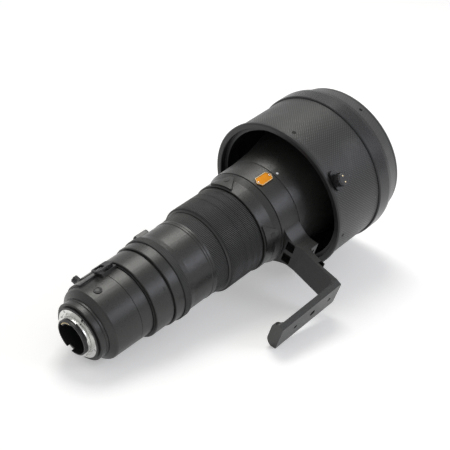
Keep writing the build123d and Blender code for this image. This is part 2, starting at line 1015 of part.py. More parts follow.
def sole_plane(height):
    """A plane along the foot's sole: its x runs forward and its y across."""
    outward, _ = foot_directions()
    return Plane(origin=outward * height, x_dir=(0, 1, 0), z_dir=outward)


def ring_height():
    """Height at which the neck's flanks run out on the collar ring."""
    return (collar_rear_radius ** 2 - neck_root_half ** 2) ** 0.5


def neck_flank(side):
    """One hollow flank of the neck, from the joint down to the collar ring."""
    waist = (neck_waist, side * neck_waist_half)
    flare = (neck_flare_height, side * neck_flare_half)
    root = (ring_height(), side * neck_root_half)
    return [
        Line((joint_height, side * foot_top_half), waist),
        Spline(waist, flare, root, tangents=[(-1, 0), (-0.75, side)]),
    ]


def neck_body():
    low = ring_height()
    inside = bearing_radius - neck_root_depth
    narrow = neck_root_half - neck_root_depth
    across = [
        *neck_flank(1),
        Polyline((low, neck_root_half), (inside, narrow), (inside, -narrow), (low, -neck_root_half)),
        *neck_flank(-1),
        Line((joint_height, -foot_top_half), (joint_height, foot_top_half)),
    ]
    along = make_face(
        Polyline(
            (inside, neck_rear - over), (neck_flare_height, neck_rear), (joint_height, joint_rear),
            (joint_height, joint_front), (inside, collar_end - part_gap), close=True,
        )
    )
    body = extrude(cross_plane(neck_rear - over) * make_face(across), collar_length)
    return body & extrude(side_plane(neck_root_half) * along, 2 * neck_root_half)


def neck_window(side):
    """One of the two deep pockets in the neck's rear face."""
    middle = ((window_low + window_high) / 2, side * (window_in_half + window_out_half) / 2)
    outline = RectangleRounded(
        window_high - window_low, window_out_half - window_in_half, neck_window_corner,
    )
    plane = cross_plane(neck_rear - over)
    return extrude(plane * Pos(*middle) * outline, window_depth + over)


def tripod_collar():
    bore = bearing_radius + run
    edge = collar_edge
    body = turned(
        (bore, collar_start), (collar_rear_radius - edge, collar_start),
        (collar_rear_radius, collar_start + edge), (collar_front_radius, collar_end - edge),
        (collar_front_radius - edge, collar_end), (bore, collar_end),
    )
    body += neck_body()
    for side in (1, -1):
        body -= neck_window(side)
    body += peg(lock_angle, collar_mid, bore + over, lock_boss_top, lock_boss_radius)
    body -= bar(bore, collar_start - over, collar_end + over)
    body -= peg(lock_angle, collar_mid, bore - over, lock_boss_top + over, lock_stem_radius + run)
    body -= badge_shape(slip, lock_boss_rise)
    for plane in foot_screw_planes(joint_height - foot_screw_depth):
        body -= extrude(plane * Circle(foot_screw_shank + slip), foot_screw_depth + over)
    return body


def badge_shape(gap, height):
    """The badge's long six-sided outline, raised from its seat in the collar."""
    half_along = badge_along / 2 + gap
    half_across = badge_across / 2 + gap
    shoulder = half_along - badge_clip
    corners = [
        (-half_along, 0), (-shoulder, -half_across), (shoulder, -half_across),
        (half_along, 0), (shoulder, half_across), (-shoulder, half_across),
    ]
    outline = make_face(Polyline(*corners, close=True))
    return extrude(seat(badge_angle, collar_mid, collar_front_radius - badge_sink) * outline, height)


def badge_plate():
    body = badge_shape(0, badge_thick)
    low = collar_front_radius - badge_sink
    for end in (1, -1):
        station = collar_mid + end * (badge_along / 2 - badge_clip)
        body += peg(badge_angle, station, low, low + badge_thick + rivet_rise, rivet_radius)
    return body


def collar_bearing():
    return tube(sleeve_radius + slip, bearing_radius, collar_start, shoulder_start - slip)


def lock_knob():
    low = lock_boss_top + part_gap
    grip = lobed(lock_knob_radius, lock_lobes, lock_bite)
    body = extrude(seat(lock_angle, collar_mid, low) * grip, lock_knob_height)
    return body + peg(lock_angle, collar_mid, bearing_radius + part_gap, low + over, lock_stem_radius)


def foot_screw_planes(low):
    outward, across = foot_directions()
    planes = []
    for end in (1, -1):
        point = outward * low + across * (end * foot_screw_half) + Vector(0, foot_screw_station, 0)
        planes.append(Plane(origin=point, x_dir=across, z_dir=outward))
    return planes


def foot_screws():
    screws = []
    tip = joint_height - foot_screw_depth + part_gap
    reach = block_top - foot_screw_seat - tip
    for plane in foot_screw_planes(tip):
        screw = extrude(plane * Circle(foot_screw_shank), reach)
        screw += extrude(plane.offset(reach) * Circle(foot_screw_head), foot_screw_head_height)
        socket = RegularPolygon(foot_screw_socket, 6)
        screw -= extrude(plane.offset(reach + foot_screw_head_height / 2) * socket, foot_screw_head_height)
        screws.append(screw)
    return group(screws)


def foot_side():
    """The foot from the side, in (height, station): block, post, plate and lip."""
    lip_front = foot_rear + lip_thick
    lip_low = foot_height - lip_height
    post_rear = joint_rear - post_rear_drop
    blend = post_blend * 0.4
    outline = Polyline(
        (joint_height, joint_front), (block_top, block_front), (block_top, block_rear),
        (block_top + block_toe, block_rear - block_toe), (foot_inner, foot_front),
        (foot_height - foot_edge, foot_front), (foot_height, foot_front - foot_edge),
        (foot_height, foot_rear), (lip_low, foot_rear), (lip_low, lip_front),
        (foot_inner - lip_root, lip_front), (foot_inner, lip_front + lip_root),
        (foot_inner, post_rear - post_blend), (foot_inner - blend, post_rear - blend),
        (foot_inner - post_blend, post_rear), (joint_height, joint_rear), close=True,
    )
    return make_face(outline)


def foot_section():
    """The foot from behind, in (height, across): it narrows towards the sole."""
    right = [(joint_height, foot_top_half), (foot_inner, foot_plate_half), (foot_height, foot_sole_half)]
    left = [(height, -half) for height, half in reversed(right)]
    return make_face(Polyline(*right, *left, close=True))


def lip_corner_cut(side):
    """What the rounded upper corner of the lip leaves out."""
    low = foot_height - lip_height
    edge = side * foot_plate_half
    beyond = side * (foot_plate_half + over)
    start = (low, side * lip_top_half)
    end = (low + lip_corner, edge)
    middle = (low + lip_corner * 0.4, side * (lip_top_half * 0.27 + foot_plate_half * 0.73))
    rest = Polyline(end, (low + lip_corner, beyond), (low - over, beyond), (low - over, start[1]), start)
    return make_face([ThreePointArc(start, middle, end), rest])


def nose_cut(side):
    """Cuts one lower front corner off the plate and the post."""
    back = foot_front - foot_nose_bevel
    beyond = side * (foot_plate_half + over)
    wedge = make_face(
        Polyline(
            (foot_front, side * foot_nose_half), (back, side * foot_sole_half), (back, beyond),
            (foot_front + over, beyond), (foot_front + over, side * foot_nose_half), close=True,
        )
    )
    low = foot_inner - 2 * lip_height
    return extrude(sole_plane(low) * wedge, foot_height + over - low)


def tripod_foot():
    half = foot_top_half + over
    body = extrude(side_plane(half) * foot_side(), 2 * half)
    body &= extrude(cross_plane(foot_rear - over) * foot_section(), block_front - foot_rear + 2 * over)
    for side in (1, -1):
        body -= extrude(cross_plane(foot_rear - over) * lip_corner_cut(side), lip_thick + 2 * over)
        body -= nose_cut(side)
    for i, radius in enumerate((foot_side_hole_radius, foot_hole_radius, foot_side_hole_radius)):
        station = foot_rear + foot_hole_in + (i - 1) * foot_hole_pitch
        body -= peg(foot_angle, station, foot_inner - over, foot_height + over, radius)
    seat_low = block_top - foot_screw_seat
    for plane in foot_screw_planes(joint_height - over):
        body -= extrude(plane * Circle(foot_screw_shank + slip), block_top - joint_height)
    for plane in foot_screw_planes(seat_low):
        body -= extrude(plane * Circle(foot_screw_head + slip), foot_screw_seat + over)
    return body


# Front barrel and glass
def collar_sleeve():
    """The sleeve between the main tube and the front barrel, which the collar turns round."""
    rear_in = tube_radius + slip
    step = tube_end + slip
    stop = tube_radius - 2 * tube_wall
    inner = sleeve_radius - sleeve_wall
    rear = button_start + slip
    return turned(
        (rear_in, rear), (sleeve_radius, rear), (sleeve_radius, shoulder_start), (inner, shoulder_start),
        (inner, step + 2 * tube_stop), (stop, step + tube_stop), (stop, step), (rear_in, step),
    )


def flare(inset):
    """The trumpet curve between the shoulder and the widest part, moved inwards by a wall."""
    start = (shoulder_radius + flare_start_rise - inset, shoulder_start + shoulder_length)
    middle = (flare_mid_radius - inset, flare_mid)
    end = (flare_radius - inset, flare_end)
    return ThreePointArc(start, middle, end)


def front_barrel():
    inner_arc = flare(flare_wall)
    outer_arc = flare(0)
    rear_in = sleeve_radius - sleeve_wall
    lip = glass_radius - glass_lip
    cell = cell_radius + slip
    outline = [
        Polyline(
            inner_arc @ 0, (rear_in, shoulder_start + flare_wall), (rear_in, shoulder_start),
            (shoulder_radius - shoulder_edge, shoulder_start),
            (shoulder_radius, shoulder_start + shoulder_edge), outer_arc @ 0,
        ),
        outer_arc,
        Polyline(
            outer_arc @ 1, (flare_radius, front_step), (lip, front_step), (lip, glass_front + slip),
            (cell, glass_front + slip), (cell, flare_end), inner_arc @ 1,
        ),
        inner_arc,
    ]
    return revolve(make_face(outline), Axis.Y)


def front_bezel():
    inner = bezel_radius - bezel_wall
    return turned(
        (inner, front_step), (bezel_radius, front_step), (bezel_radius, front_end - bezel_edge),
        (bezel_radius - bezel_edge, front_end), (inner + bezel_slope, front_end),
        (inner, front_end - bezel_slope_length),
    )


def front_ring():
    outer = bezel_radius - bezel_wall - slip
    inner = outer - ring_wall
    front = front_step + ring_length + ring_flare
    return turned(
        (inner, front_step), (outer, front_step), (outer, front), (outer - ring_lip, front),
        (inner, front_step + ring_length),
    )


def dome_arc(radius, top, edge):
    """An arc from the axis at one station to a radius at another, with its centre on the axis."""
    sag = abs(top - edge)
    ball = (radius ** 2 + sag ** 2) / (2 * sag)
    centre = top + ball if edge > top else top - ball
    half = asin(radius / ball) / 2
    middle = centre + (top - centre) * cos(half)
    return ThreePointArc((0, top), (ball * sin(half), middle), (radius, edge))


def front_glass():
    window = glass_radius - glass_lip - part_gap
    top = glass_front + glass_bulge
    profile = make_face(
        [
            Polyline(
                (0, top), (0, glass_rear), (glass_radius, glass_rear), (glass_radius, glass_front),
                (window, glass_front),
            ),
            dome_arc(window, top, glass_front),
        ]
    )
    return revolve(profile, Axis.Y)


def main_cell():
    inner = cell_radius - cell_wall
    seat_radius = glass_radius + slip
    wall = turned(
        (inner, flare_end), (cell_radius, flare_end), (cell_radius, glass_front),
        (seat_radius, glass_front), (seat_radius, glass_rear), (inner, glass_rear),
    )
    rear = flare_end + cell_glass_back
    front = rear + cell_glass_thick
    return wall + turned((0, rear), (inner + bite, rear), (inner + bite, front), (0, rear + cell_glass_dish))


# Inner groups
def guide_rods():
    start = vr_unit_rear + vr_unit_length
    length = tube_end - tube_stop - start
    return group(
        extrude(end_plane(angle, rod_circle, start) * Circle(rod_radius), length)
        for angle in evenly(rod_angle, rod_count)
    )


def focus_cell():
    front = focus_cell_rear + focus_cell_length
    lip = front - focus_cell_lip_length
    bore = focus_glass_radius + slip
    body = turned(
        (bore, focus_cell_rear), (focus_cell_radius, focus_cell_rear), (focus_cell_radius, front),
        (bore - focus_cell_lip, front), (bore - focus_cell_lip, lip), (bore, lip),
    )
    for angle in evenly(rod_angle, rod_count):
        plane = end_plane(angle, rod_circle, focus_cell_rear - over)
        body -= extrude(plane * Circle(rod_radius + run), focus_cell_length + 2 * over)
    return body


def lens_disc(radius, rear, front, sag):
    """A biconvex glass: flat edge, two domed faces."""
    profile = make_face(
        [
            Line((0, front), (0, rear)),
            dome_arc(radius, rear, rear + sag),
            Line((radius, rear + sag), (radius, front - sag)),
            dome_arc(radius, front, front - sag),
        ]
    )
    return revolve(profile, Axis.Y)


def focus_glass():
    front = focus_cell_rear + focus_cell_length - focus_cell_lip_length
    return lens_disc(focus_glass_radius, front - focus_glass_thick, front, focus_glass_sag)


def cell_with_glass(rear, length, radius):
    """A full-width cell with its glass in the middle."""
    outer = tube_radius - tube_wall - slip
    middle = rear + length / 2
    half = inner_glass_thick / 2
    glass = lens_disc(radius + bite, middle - half, middle + half, inner_glass_sag)
    return tube(radius, outer, rear, rear + length) + glass


def vr_unit():
    return cell_with_glass(vr_unit_rear, vr_unit_length, vr_glass_radius)


def iris_unit():
    rear = rear_end + iris_in
    return tube(iris_bore, tube_radius - tube_wall - slip, rear, rear + iris_length)


def rear_group():
    return cell_with_glass(rear_end + rear_group_in, rear_group_length, rear_glass_radius)


# Hood
def hood_screw_angles():
    return evenly(hood_screw_angle, hood_screw_count)


def hood_sleeve_radius():
    return hood_inner_radius - slip


def hood_tube():
    body = tube(hood_inner_radius, hood_radius, hood_open + hood_lip, hood_seat)
    low = hood_inner_radius - over
    high = hood_radius + over
    for angle in hood_screw_angles():
        body -= peg(angle, hood_screw_station, low, high, hood_screw_head + slip)
    return body - peg(clamp_angle, hood_screw_station, low, high, clamp_stem_radius + run)


def hood_rim():
    sleeve = hood_sleeve_radius()
    lip_end = hood_open + hood_lip
    end = lip_end + hood_sleeve_length
    ledge = hood_open + hood_ledge_in
    body = turned(
        (hood_mouth_radius, hood_open + hood_mouth_edge), (hood_mouth_radius + hood_mouth_edge, hood_open),
        (hood_lip_radius - hood_lip_edge, hood_open), (hood_lip_radius, hood_open + hood_lip_edge),
        (hood_lip_radius, lip_end - hood_mouth_edge), (hood_lip_radius - hood_mouth_edge, lip_end),
        (sleeve, lip_end), (sleeve, end), (hood_ledge_radius + hood_ledge_edge, end),
        (hood_ledge_radius, end - hood_ledge_edge), (hood_ledge_radius, ledge), (hood_mouth_radius, ledge),
    )
    for angle in hood_screw_angles():
        body -= peg(
            angle, hood_screw_station, hood_ledge_radius + over, sleeve + over, hood_screw_shank + slip,
        )
    body -= shoe_block(hood_ledge_radius - over, shoe_pocket_radius, run)
    return body - peg(
        clamp_angle, hood_screw_station, shoe_pocket_radius - over, sleeve + over, clamp_stem_radius + run,
    )


def shoe_block(low, high, gap):
    side = shoe_side + 2 * gap
    return pad(clamp_angle, hood_screw_station, low, high, side, side, shoe_corner)


def hood_band():
    inner = hood_radius + slip
    return turned(
        (inner, hood_band_start), (hood_band_radius - hood_band_edge, hood_band_start),
        (hood_band_radius, hood_band_start + hood_band_edge), (hood_band_radius, hood_seat - hood_band_slope),
        (hood_collar_radius + hood_band_step, hood_seat), (inner, hood_seat),
    )


def nose_screw_low():
    """Height of the seat of the collar's screws, which follows the collar's slope."""
    slope = hood_nose_draw / (hood_nose_length - hood_nose_round)
    return hood_collar_radius - slope * nose_screw_in - nose_screw_depth


def hood_collar():
    inner = bezel_radius + run
    edge = hood_nose_edge
    body = turned(
        (inner, hood_seat), (hood_collar_radius, hood_seat),
        (hood_nose_radius, hood_front - hood_nose_round), (hood_nose_radius - edge / 2, hood_front - edge),
        (hood_nose_radius - 1.5 * edge, hood_front), (inner + edge, hood_front), (inner, hood_front - edge),
    )
    for angle in hood_screw_angles():
        body -= peg(
            angle + nose_turn, nose_screw_station, nose_screw_low(), hood_collar_radius + over,
            hood_screw_head + slip,
        )
    return body


def hood_screws():
    screws = []
    sleeve = hood_sleeve_radius()
    low = nose_screw_low()
    tip = hood_ledge_radius + over + part_gap
    for angle in hood_screw_angles():
        screw = peg(angle, hood_screw_station, sleeve, hood_radius - hood_screw_sink, hood_screw_head)
        screw += peg(angle, hood_screw_station, tip, sleeve + bite, hood_screw_shank)
        nose = peg(
            angle + nose_turn, nose_screw_station, low, low + nose_screw_head_height, hood_screw_head,
        )
        screws += [screw, nose]
    return group(screws)


def clamp_base():
    low = hood_radius - clamp_base_root
    outline = SlotOverall(clamp_base_across, clamp_base_along, rotation=90)
    body = extrude(seat(clamp_angle, hood_screw_station, low) * outline, clamp_base_top - low)
    body -= bar(hood_radius + slip, hood_open, hood_seat)
    return body - peg(
        clamp_angle, hood_screw_station, low - over, clamp_base_top + over, clamp_stem_radius + run,
    )


def clamp_knob():
    grip_low = clamp_base_top + clamp_stem_reach
    top = grip_low + clamp_knob_height
    body = peg(clamp_angle, hood_screw_station, shoe_pocket_radius, grip_low + bite, clamp_stem_radius)
    body += peg(clamp_angle, hood_screw_station, clamp_base_top + part_gap, grip_low, clamp_collar_radius)
    grip = seat(clamp_angle, hood_screw_station, grip_low)
    body += extrude(grip * lobed(clamp_knob_radius, clamp_knob_lobes, clamp_knob_bite), clamp_knob_height)
    crown = peg(
        clamp_angle, hood_screw_station, top - bite, top + clamp_crown_height,
        clamp_knob_radius - clamp_crown_inset,
    )
    body += bevelled_top(crown, clamp_angle, clamp_crown_edge)
    return body - peg(
        clamp_angle, hood_screw_station, shoe_pocket_radius - over, grip_low, clamp_stud_radius + slip,
    )


def clamp_stud():
    """The screw's steel core. The shoe floats on its tip with some play."""
    top = clamp_base_top + clamp_stem_reach - slip
    return peg(clamp_angle, hood_screw_station, hood_ledge_radius + part_gap, top, clamp_stud_radius)


def clamp_shoe():
    low = hood_ledge_radius
    body = shoe_block(low, low + shoe_thick, 0)
    top = low + shoe_thick
    return body - peg(clamp_angle, hood_screw_station, low - over, top + over, shoe_eye_radius)


def all_pieces():
    pieces = {
        "mount_flange": mount_flange(),
        "mount_screws": mount_screws(),
        "mount_gasket": mount_gasket(),
        "mount_shroud": mount_shroud(),
        "contact_block": contact_block(),
        "contact_pins": contact_pins(),
        "mount_neck": mount_neck(),
        "rear_body": rear_body(),
        "memory_button": memory_button(),
        "filter_holder": filter_holder(),
        "filter_glass": filter_glass(),
        "filter_knob": filter_knob(),
        "strap_lugs": strap_lugs(),
        "main_tube": main_tube(),
        "mid_barrel": mid_barrel(),
        "band_ring": band_ring(),
        "switch_panel": switch_panel(),
        "vr_ring": vr_ring(),
        "scale_barrel": scale_barrel(),
        "window_frame": window_frame(),
        "window_pane": window_pane(),
        "distance_scale": distance_scale(),
        "preset_ring": preset_ring(),
        "preset_grip": preset_grip(),
        "focus_ring": focus_ring(),
        "focus_grip": focus_grip(),
        "button_ring": button_ring(),
        "tripod_collar": tripod_collar(),
        "badge_plate": badge_plate(),
        "collar_sleeve": collar_sleeve(),
        "collar_bearing": collar_bearing(),
        "lock_knob": lock_knob(),
        "tripod_foot": tripod_foot(),
        "foot_screws": foot_screws(),
        "front_barrel": front_barrel(),
        "front_bezel": front_bezel(),
        "front_ring": front_ring(),
        "front_glass": front_glass(),
        "main_cell": main_cell(),
        "guide_rods": guide_rods(),
        "focus_cell": focus_cell(),
        "focus_glass": focus_glass(),
        "vr_unit": vr_unit(),
        "iris_unit": iris_unit(),
        "rear_group": rear_group(),
        "hood_tube": hood_tube(),
        "hood_rim": hood_rim(),
        "hood_band": hood_band(),
        "hood_collar": hood_collar(),
        "hood_screws": hood_screws(),
        "hood_clamp_base": clamp_base(),
        "hood_clamp_screw": group([clamp_knob(), clamp_stud()]),
        "hood_clamp_shoe": clamp_shoe(),
    }
    for i, station in enumerate(switch_stations()):
        pieces[f"switch_{i + 1}"] = switch(station)
    for i, angle in enumerate(evenly(pad_angle, pad_count)):
        pieces[f"function_button_{i + 1}"] = function_button(angle)
    return pieces


os.makedirs("parts", exist_ok=True)
for name, piece in all_pieces().items():
    export_step(Rot(0, -lie_roll, 0) * piece, f"parts/{name}.step")
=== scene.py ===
# %% [markdown]
# # A super telephoto lens on a white table
#
# This lesson dresses the CAD model of a long lens for its portrait. The model gives every ring, barrel
# and button its true place, so the work here is finish: satin paint, rubber ribs, woven carbon, a bright
# metal mount and a little dust. Everything is in metres, and the lens looks along +Y.

import json
from math import atan2, cos, degrees, pi, radians, sin

import bpy
from mathutils import Matrix, Vector


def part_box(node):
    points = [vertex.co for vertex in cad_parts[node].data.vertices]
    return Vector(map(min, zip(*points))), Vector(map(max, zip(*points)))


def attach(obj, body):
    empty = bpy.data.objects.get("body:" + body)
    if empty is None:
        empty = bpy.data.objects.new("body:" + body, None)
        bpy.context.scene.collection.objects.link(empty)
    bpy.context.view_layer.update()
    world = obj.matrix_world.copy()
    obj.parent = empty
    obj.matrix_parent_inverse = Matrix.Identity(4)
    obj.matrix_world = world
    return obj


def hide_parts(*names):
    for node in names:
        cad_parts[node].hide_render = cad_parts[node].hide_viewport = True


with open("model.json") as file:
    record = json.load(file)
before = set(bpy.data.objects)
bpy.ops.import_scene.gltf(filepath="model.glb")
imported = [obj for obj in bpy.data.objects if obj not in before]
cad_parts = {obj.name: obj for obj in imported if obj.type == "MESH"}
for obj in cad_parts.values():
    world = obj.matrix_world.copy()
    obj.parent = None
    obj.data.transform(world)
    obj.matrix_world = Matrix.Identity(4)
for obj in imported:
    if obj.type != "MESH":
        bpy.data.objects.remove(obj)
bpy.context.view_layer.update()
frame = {"nodes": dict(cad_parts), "record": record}
mm = 0.001

# %% [markdown]
# ## Measuring from the frame
#
# A barrel is described by two stations along the axis and a radius. They could be typed in a second time,
# but then they would fall out of step with the model at its next change. The box of a node gives them
# afresh each time.

# %% Stations and radii
def stations(node):
    """Where a node starts and ends along the axis."""
    low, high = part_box(node)
    return low.y, high.y


def outer_radius(node):
    """The radius of a barrel that is round about the axis."""
    low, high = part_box(node)
    return max(high.x - low.x, high.z - low.z) / 2


print("focus grip, stations in mm", [round(station / mm, 2) for station in stations("focus_grip")])

# %% [markdown]
# ## Camera
#
# The photograph looks down on the mount end from behind and to the right. A camera can be turned by eye
# until the picture agrees, but a lens offers something better. The round edges of its barrels draw as
# ellipses, which give away both distance and direction, and the camera's place was fitted to them. It
# leans a few degrees, because the lens tips down onto the lip of its hood.

# %% Camera
photo_width = 450
focal_pixels = 1064.0
sensor_width = 36.0      # mm
eye = Vector((0.74293, -0.45479, 0.64245))
gaze_azimuth = 47.77     # degrees
gaze_down = 32.29
gaze_lean = 8.57

azimuth, down, lean = radians(gaze_azimuth), radians(gaze_down), radians(gaze_lean)
forward = Vector((-sin(azimuth) * cos(down), cos(azimuth) * cos(down), -sin(down)))
level_right = Vector((cos(azimuth), sin(azimuth), 0))
level_up = level_right.cross(forward)
right = level_right * cos(lean) - level_up * sin(lean)
up = right.cross(forward)
camera_data = bpy.data.cameras.new("photo_camera")
camera_data.sensor_width = sensor_width
camera_data.lens = sensor_width * focal_pixels / photo_width
camera = bpy.data.objects.new("photo_camera", camera_data)
camera.matrix_world = Matrix.Translation(eye) @ Matrix((right, up, -forward)).transposed().to_4x4()
bpy.context.scene.collection.objects.link(camera)
bpy.context.scene.camera = camera
bpy.context.scene.view_settings.view_transform = "Standard"
print("focal length", round(camera_data.lens, 2))

# %% [markdown]
# ## Drawing shaders in code
#
# A shader is a small graph of nodes, and each of its sockets holds either a plain value or a link. Written
# out in full, a graph takes a line for every node, value and link. These helpers take whatever they are
# given, a number, a colour or another node's socket, and see to the rest.

# %% Feed the sockets of a node
def put(tree, value, socket):
    """Links a socket to another one, or writes a plain value into it."""
    if hasattr(value, "is_output"):
        tree.links.new(value, socket)
    else:
        socket.default_value = value


def wire(tree, node, **values):
    """Feeds a node's inputs by name, with an underscore for each space in the name."""
    for name, value in values.items():
        put(tree, value, node.inputs[name.replace("_", " ")])


def add(tree, kind, **settings):
    """Adds a node. A setting that is not a property of the node is an input of that name."""
    node = tree.nodes.new(kind)
    for name, value in settings.items():
        if hasattr(node, name):
            setattr(node, name, value)
        else:
            wire(tree, node, **{name: value})
    return node


def math(tree, operation, *values):
    """A Math node; each of its values is a number or a socket."""
    node = add(tree, "ShaderNodeMath", operation=operation)
    for value, socket in zip(values, node.inputs):
        put(tree, value, socket)
    return node.outputs[0]


def spread(tree, value, low, high, to_low=0.0, to_high=1.0):
    """Maps a value from one range to another, and holds it within the second."""
    node = add(tree, "ShaderNodeMapRange", Value=value, From_Min=low, From_Max=high)
    wire(tree, node, To_Min=to_low, To_Max=to_high)
    return node.outputs["Result"]


print("helpers for sockets: put, wire, add, math and spread")

# %% [markdown]
# ## Room
#
# A photographer's studio is white all round. Walls as bright as they look would flood the black barrels
# with light, so the room has two strengths. The low one lights the lens. The higher one is for rays that
# look at the walls, straight from the camera, in a reflection or through glass.

# %% World
world_light = 0.44       # what the room gives to every surface
world_seen = 0.74        # how bright its walls look and mirror


def shade(red, green, blue):
    return (red, green, blue, 1.0)


def grey(value):
    return shade(value, value, value)


def studio_rays(tree):
    """One where the camera, a reflection or a view through glass is looking, and nought for plain light."""
    path = add(tree, "ShaderNodeLightPath").outputs
    seen = math(tree, "MAXIMUM", path["Is Camera Ray"], path["Is Glossy Ray"])
    return math(tree, "MAXIMUM", seen, path["Is Transmission Ray"])


world = bpy.data.worlds.new("studio")
bpy.context.scene.world = world
world.use_nodes = True
tree = world.node_tree
strength = spread(tree, studio_rays(tree), 0, 1, world_light, world_seen)
wire(tree, tree.nodes["Background"], Color=grey(1.0), Strength=strength)
print("room gives", world_light, "and looks", world_seen)

# %% [markdown]
# ## Table
#
# The lens rests on the back of its rear body, the lip of its hood and a corner of its foot. The table is
# the plane that touches them, so it is tipped a little both ways, and it is moved down its own normal by
# as much as the lowest node reaches. A single face is enough, since the paper's edge lies far outside the
# picture.

# %% Table
table_pitch = 10.53      # degrees that the table rises towards the hood, seen from the lens
table_roll = 4.0         # degrees that it rises towards the foot
table_size = 16.0        # metres


def reach(node, direction):
    """How far a node's solid reaches along a direction."""
    return max(direction.dot(vert.co) for vert in frame["nodes"][node].data.vertices)


table_turn = Matrix.Rotation(radians(table_roll), 4, "Y") @ Matrix.Rotation(-radians(table_pitch), 4, "X")
table_up = table_turn.to_3x3() @ Vector((0, 0, 1))
table_drop = max(reach(name, -table_up) for name in frame["nodes"])
table_mesh = bpy.data.meshes.new("table")
half = table_size / 2
corners = [(-half, -half, 0), (half, -half, 0), (half, half, 0), (-half, half, 0)]
table_mesh.from_pydata(corners, [], [(0, 1, 2, 3)])
table = bpy.data.objects.new("table", table_mesh)
table.matrix_world = Matrix.Translation(-table_drop * table_up) @ table_turn
bpy.context.scene.collection.objects.link(table)
print("table normal", tuple(round(v, 4) for v in table_up), "drop mm", round(table_drop / mm, 2))

# %% [markdown]
# ## White paper
#
# A studio sweep is white because its paper is. Paper reflects nine tenths of the light at best, so under
# plain light it photographs as pale grey. More light would bleach the lens too. Instead the shader adds a
# little glow for the camera and for shiny pieces alone, and the paper still takes the lens's shadow.

# %% White paper
paper_albedo = 0.90
paper_drift = 0.02       # how far its tone wanders
paper_glow = 0.34
paper_cloud_scale = 3.0
mix_factor, mix_first, mix_second, mix_result = 0, 6, 7, 2     # sockets of a Mix node for colours


def new_material(name):
    """A material, the tree that draws it and the tree's shader."""
    material = bpy.data.materials.new(name)
    material.use_nodes = True
    tree = material.node_tree
    return material, tree, tree.nodes["Principled BSDF"]


def blend_colours(tree, factor, first, second):
    """Mixes two colours; each is a tuple or a socket."""
    node = add(tree, "ShaderNodeMix", data_type="RGBA")
    for index, value in ((mix_factor, factor), (mix_first, first), (mix_second, second)):
        put(tree, value, node.inputs[index])
    return node.outputs[mix_result]


paper, tree, bsdf = new_material("white_paper")
cloud = add(tree, "ShaderNodeTexNoise", Scale=paper_cloud_scale, Detail=4.0).outputs["Fac"]
duller, paler = grey(paper_albedo - paper_drift), grey(paper_albedo + paper_drift)
paper_tone = blend_colours(tree, cloud, duller, paler)
wire(tree, bsdf, Base_Color=paper_tone, Roughness=0.9, Specular_IOR_Level=0.1)
glow_strength = spread(tree, studio_rays(tree), 0, 1, 0.0, paper_glow)
glow = add(tree, "ShaderNodeEmission", Color=grey(1.0), Strength=glow_strength)
both = add(tree, "ShaderNodeAddShader")
tree.links.new(bsdf.outputs[0], both.inputs[0])
tree.links.new(glow.outputs[0], both.inputs[1])
wire(tree, tree.nodes["Material Output"], Surface=both.outputs[0])
table_mesh.materials.append(paper)
print("paper", paper_albedo, "glow", paper_glow)

# %% [markdown]
# ## Lamps
#
# Long soft highlights run along the barrels. Point lamps and a sun would draw them as hard thin lines, so
# the lamps are areas as large as real soft boxes: a warm one overhead, and a cool one at the right, like a
# window. Their strength is plain, so that a colour comes out about as it is written.

# %% Soft lamps
lens_middle = Vector((0, 0.2, 0))


def soft_lamp(name, place, width, power, tint):
    """A square soft box that looks at the middle of the lens."""
    data = bpy.data.lights.new(name, "AREA")
    data.shape = "SQUARE"
    data.size = width
    data.energy = power
    data.color = tint
    lamp = bpy.data.objects.new(name, data)
    gaze = (lens_middle - Vector(place)).normalized()
    lamp.matrix_world = Matrix.Translation(place) @ gaze.to_track_quat("-Z", "Y").to_matrix().to_4x4()
    bpy.context.scene.collection.objects.link(lamp)


soft_lamp("overhead_box", place=(-0.45, 0.9, 1.6), width=0.9, power=14.5, tint=(1.0, 0.99, 0.94))
soft_lamp("window_box", place=(1.5, 1.1, 0.70), width=0.7, power=6.0, tint=(0.86, 0.88, 1.0))
print("lamps", len(bpy.data.lights))

# %% [markdown]
# ## Shared effects
#
# The same few things happen to most of these finishes: a fine grain in the paint, edges that round off
# and rub paler, and specks of dust. Each could be drawn again in every material. Instead each is a node
# group with its own inputs, built once and then placed in every material that needs it, with that
# material's values.

# %% Start a node group
def new_group(name, inputs, outputs):
    """A shader group with its inputs' defaults by name. All sockets are numbers, but Normal is a vector."""
    group = bpy.data.node_groups.new(name, "ShaderNodeTree")
    for label, default in inputs.items():
        socket = group.interface.new_socket(label, in_out="INPUT", socket_type="NodeSocketFloat")
        socket.default_value = default
    for label in outputs:
        kind = "NodeSocketVector" if label == "Normal" else "NodeSocketFloat"
        group.interface.new_socket(label, in_out="OUTPUT", socket_type=kind)
    start = group.nodes.new("NodeGroupInput")
    end = group.nodes.new("NodeGroupOutput")
    print("group", name, "puts out", outputs)
    return group, start.outputs, end


def place_group(tree, group, **values):
    """Puts a group into a material with that material's values, and gives the group's outputs."""
    return add(tree, "ShaderNodeGroup", node_tree=group, **values).outputs


# %% [markdown]
# ### Paint grain and painted glint
#
# The barrels wear a crinkle paint of tiny beads that sparkle one by one in the light. Here that sparkle is
# a
# painted glint: the tops of the beads are given a paler colour. Two noises do it, a fine one for the beads
# and a broad one for the slow drift in tone that keeps a large dark barrel from looking flat.
# Their scales are worked out from millimetres, so that a grain can be measured on the real thing.

# %% Group: paint grain
glint_starts, glint_full = 0.56, 0.68      # only the tops of the beads get the painted glint


def object_place(tree):
    return add(tree, "ShaderNodeTexCoord").outputs["Object"]


def noise(tree, size_mm, **settings):
    """A cloudy pattern whose features are about so many millimetres across."""
    scale = math(tree, "DIVIDE", 1 / mm, size_mm)
    cloud = add(tree, "ShaderNodeTexNoise", Vector=object_place(tree), Scale=scale, **settings)
    return cloud.outputs["Fac"]


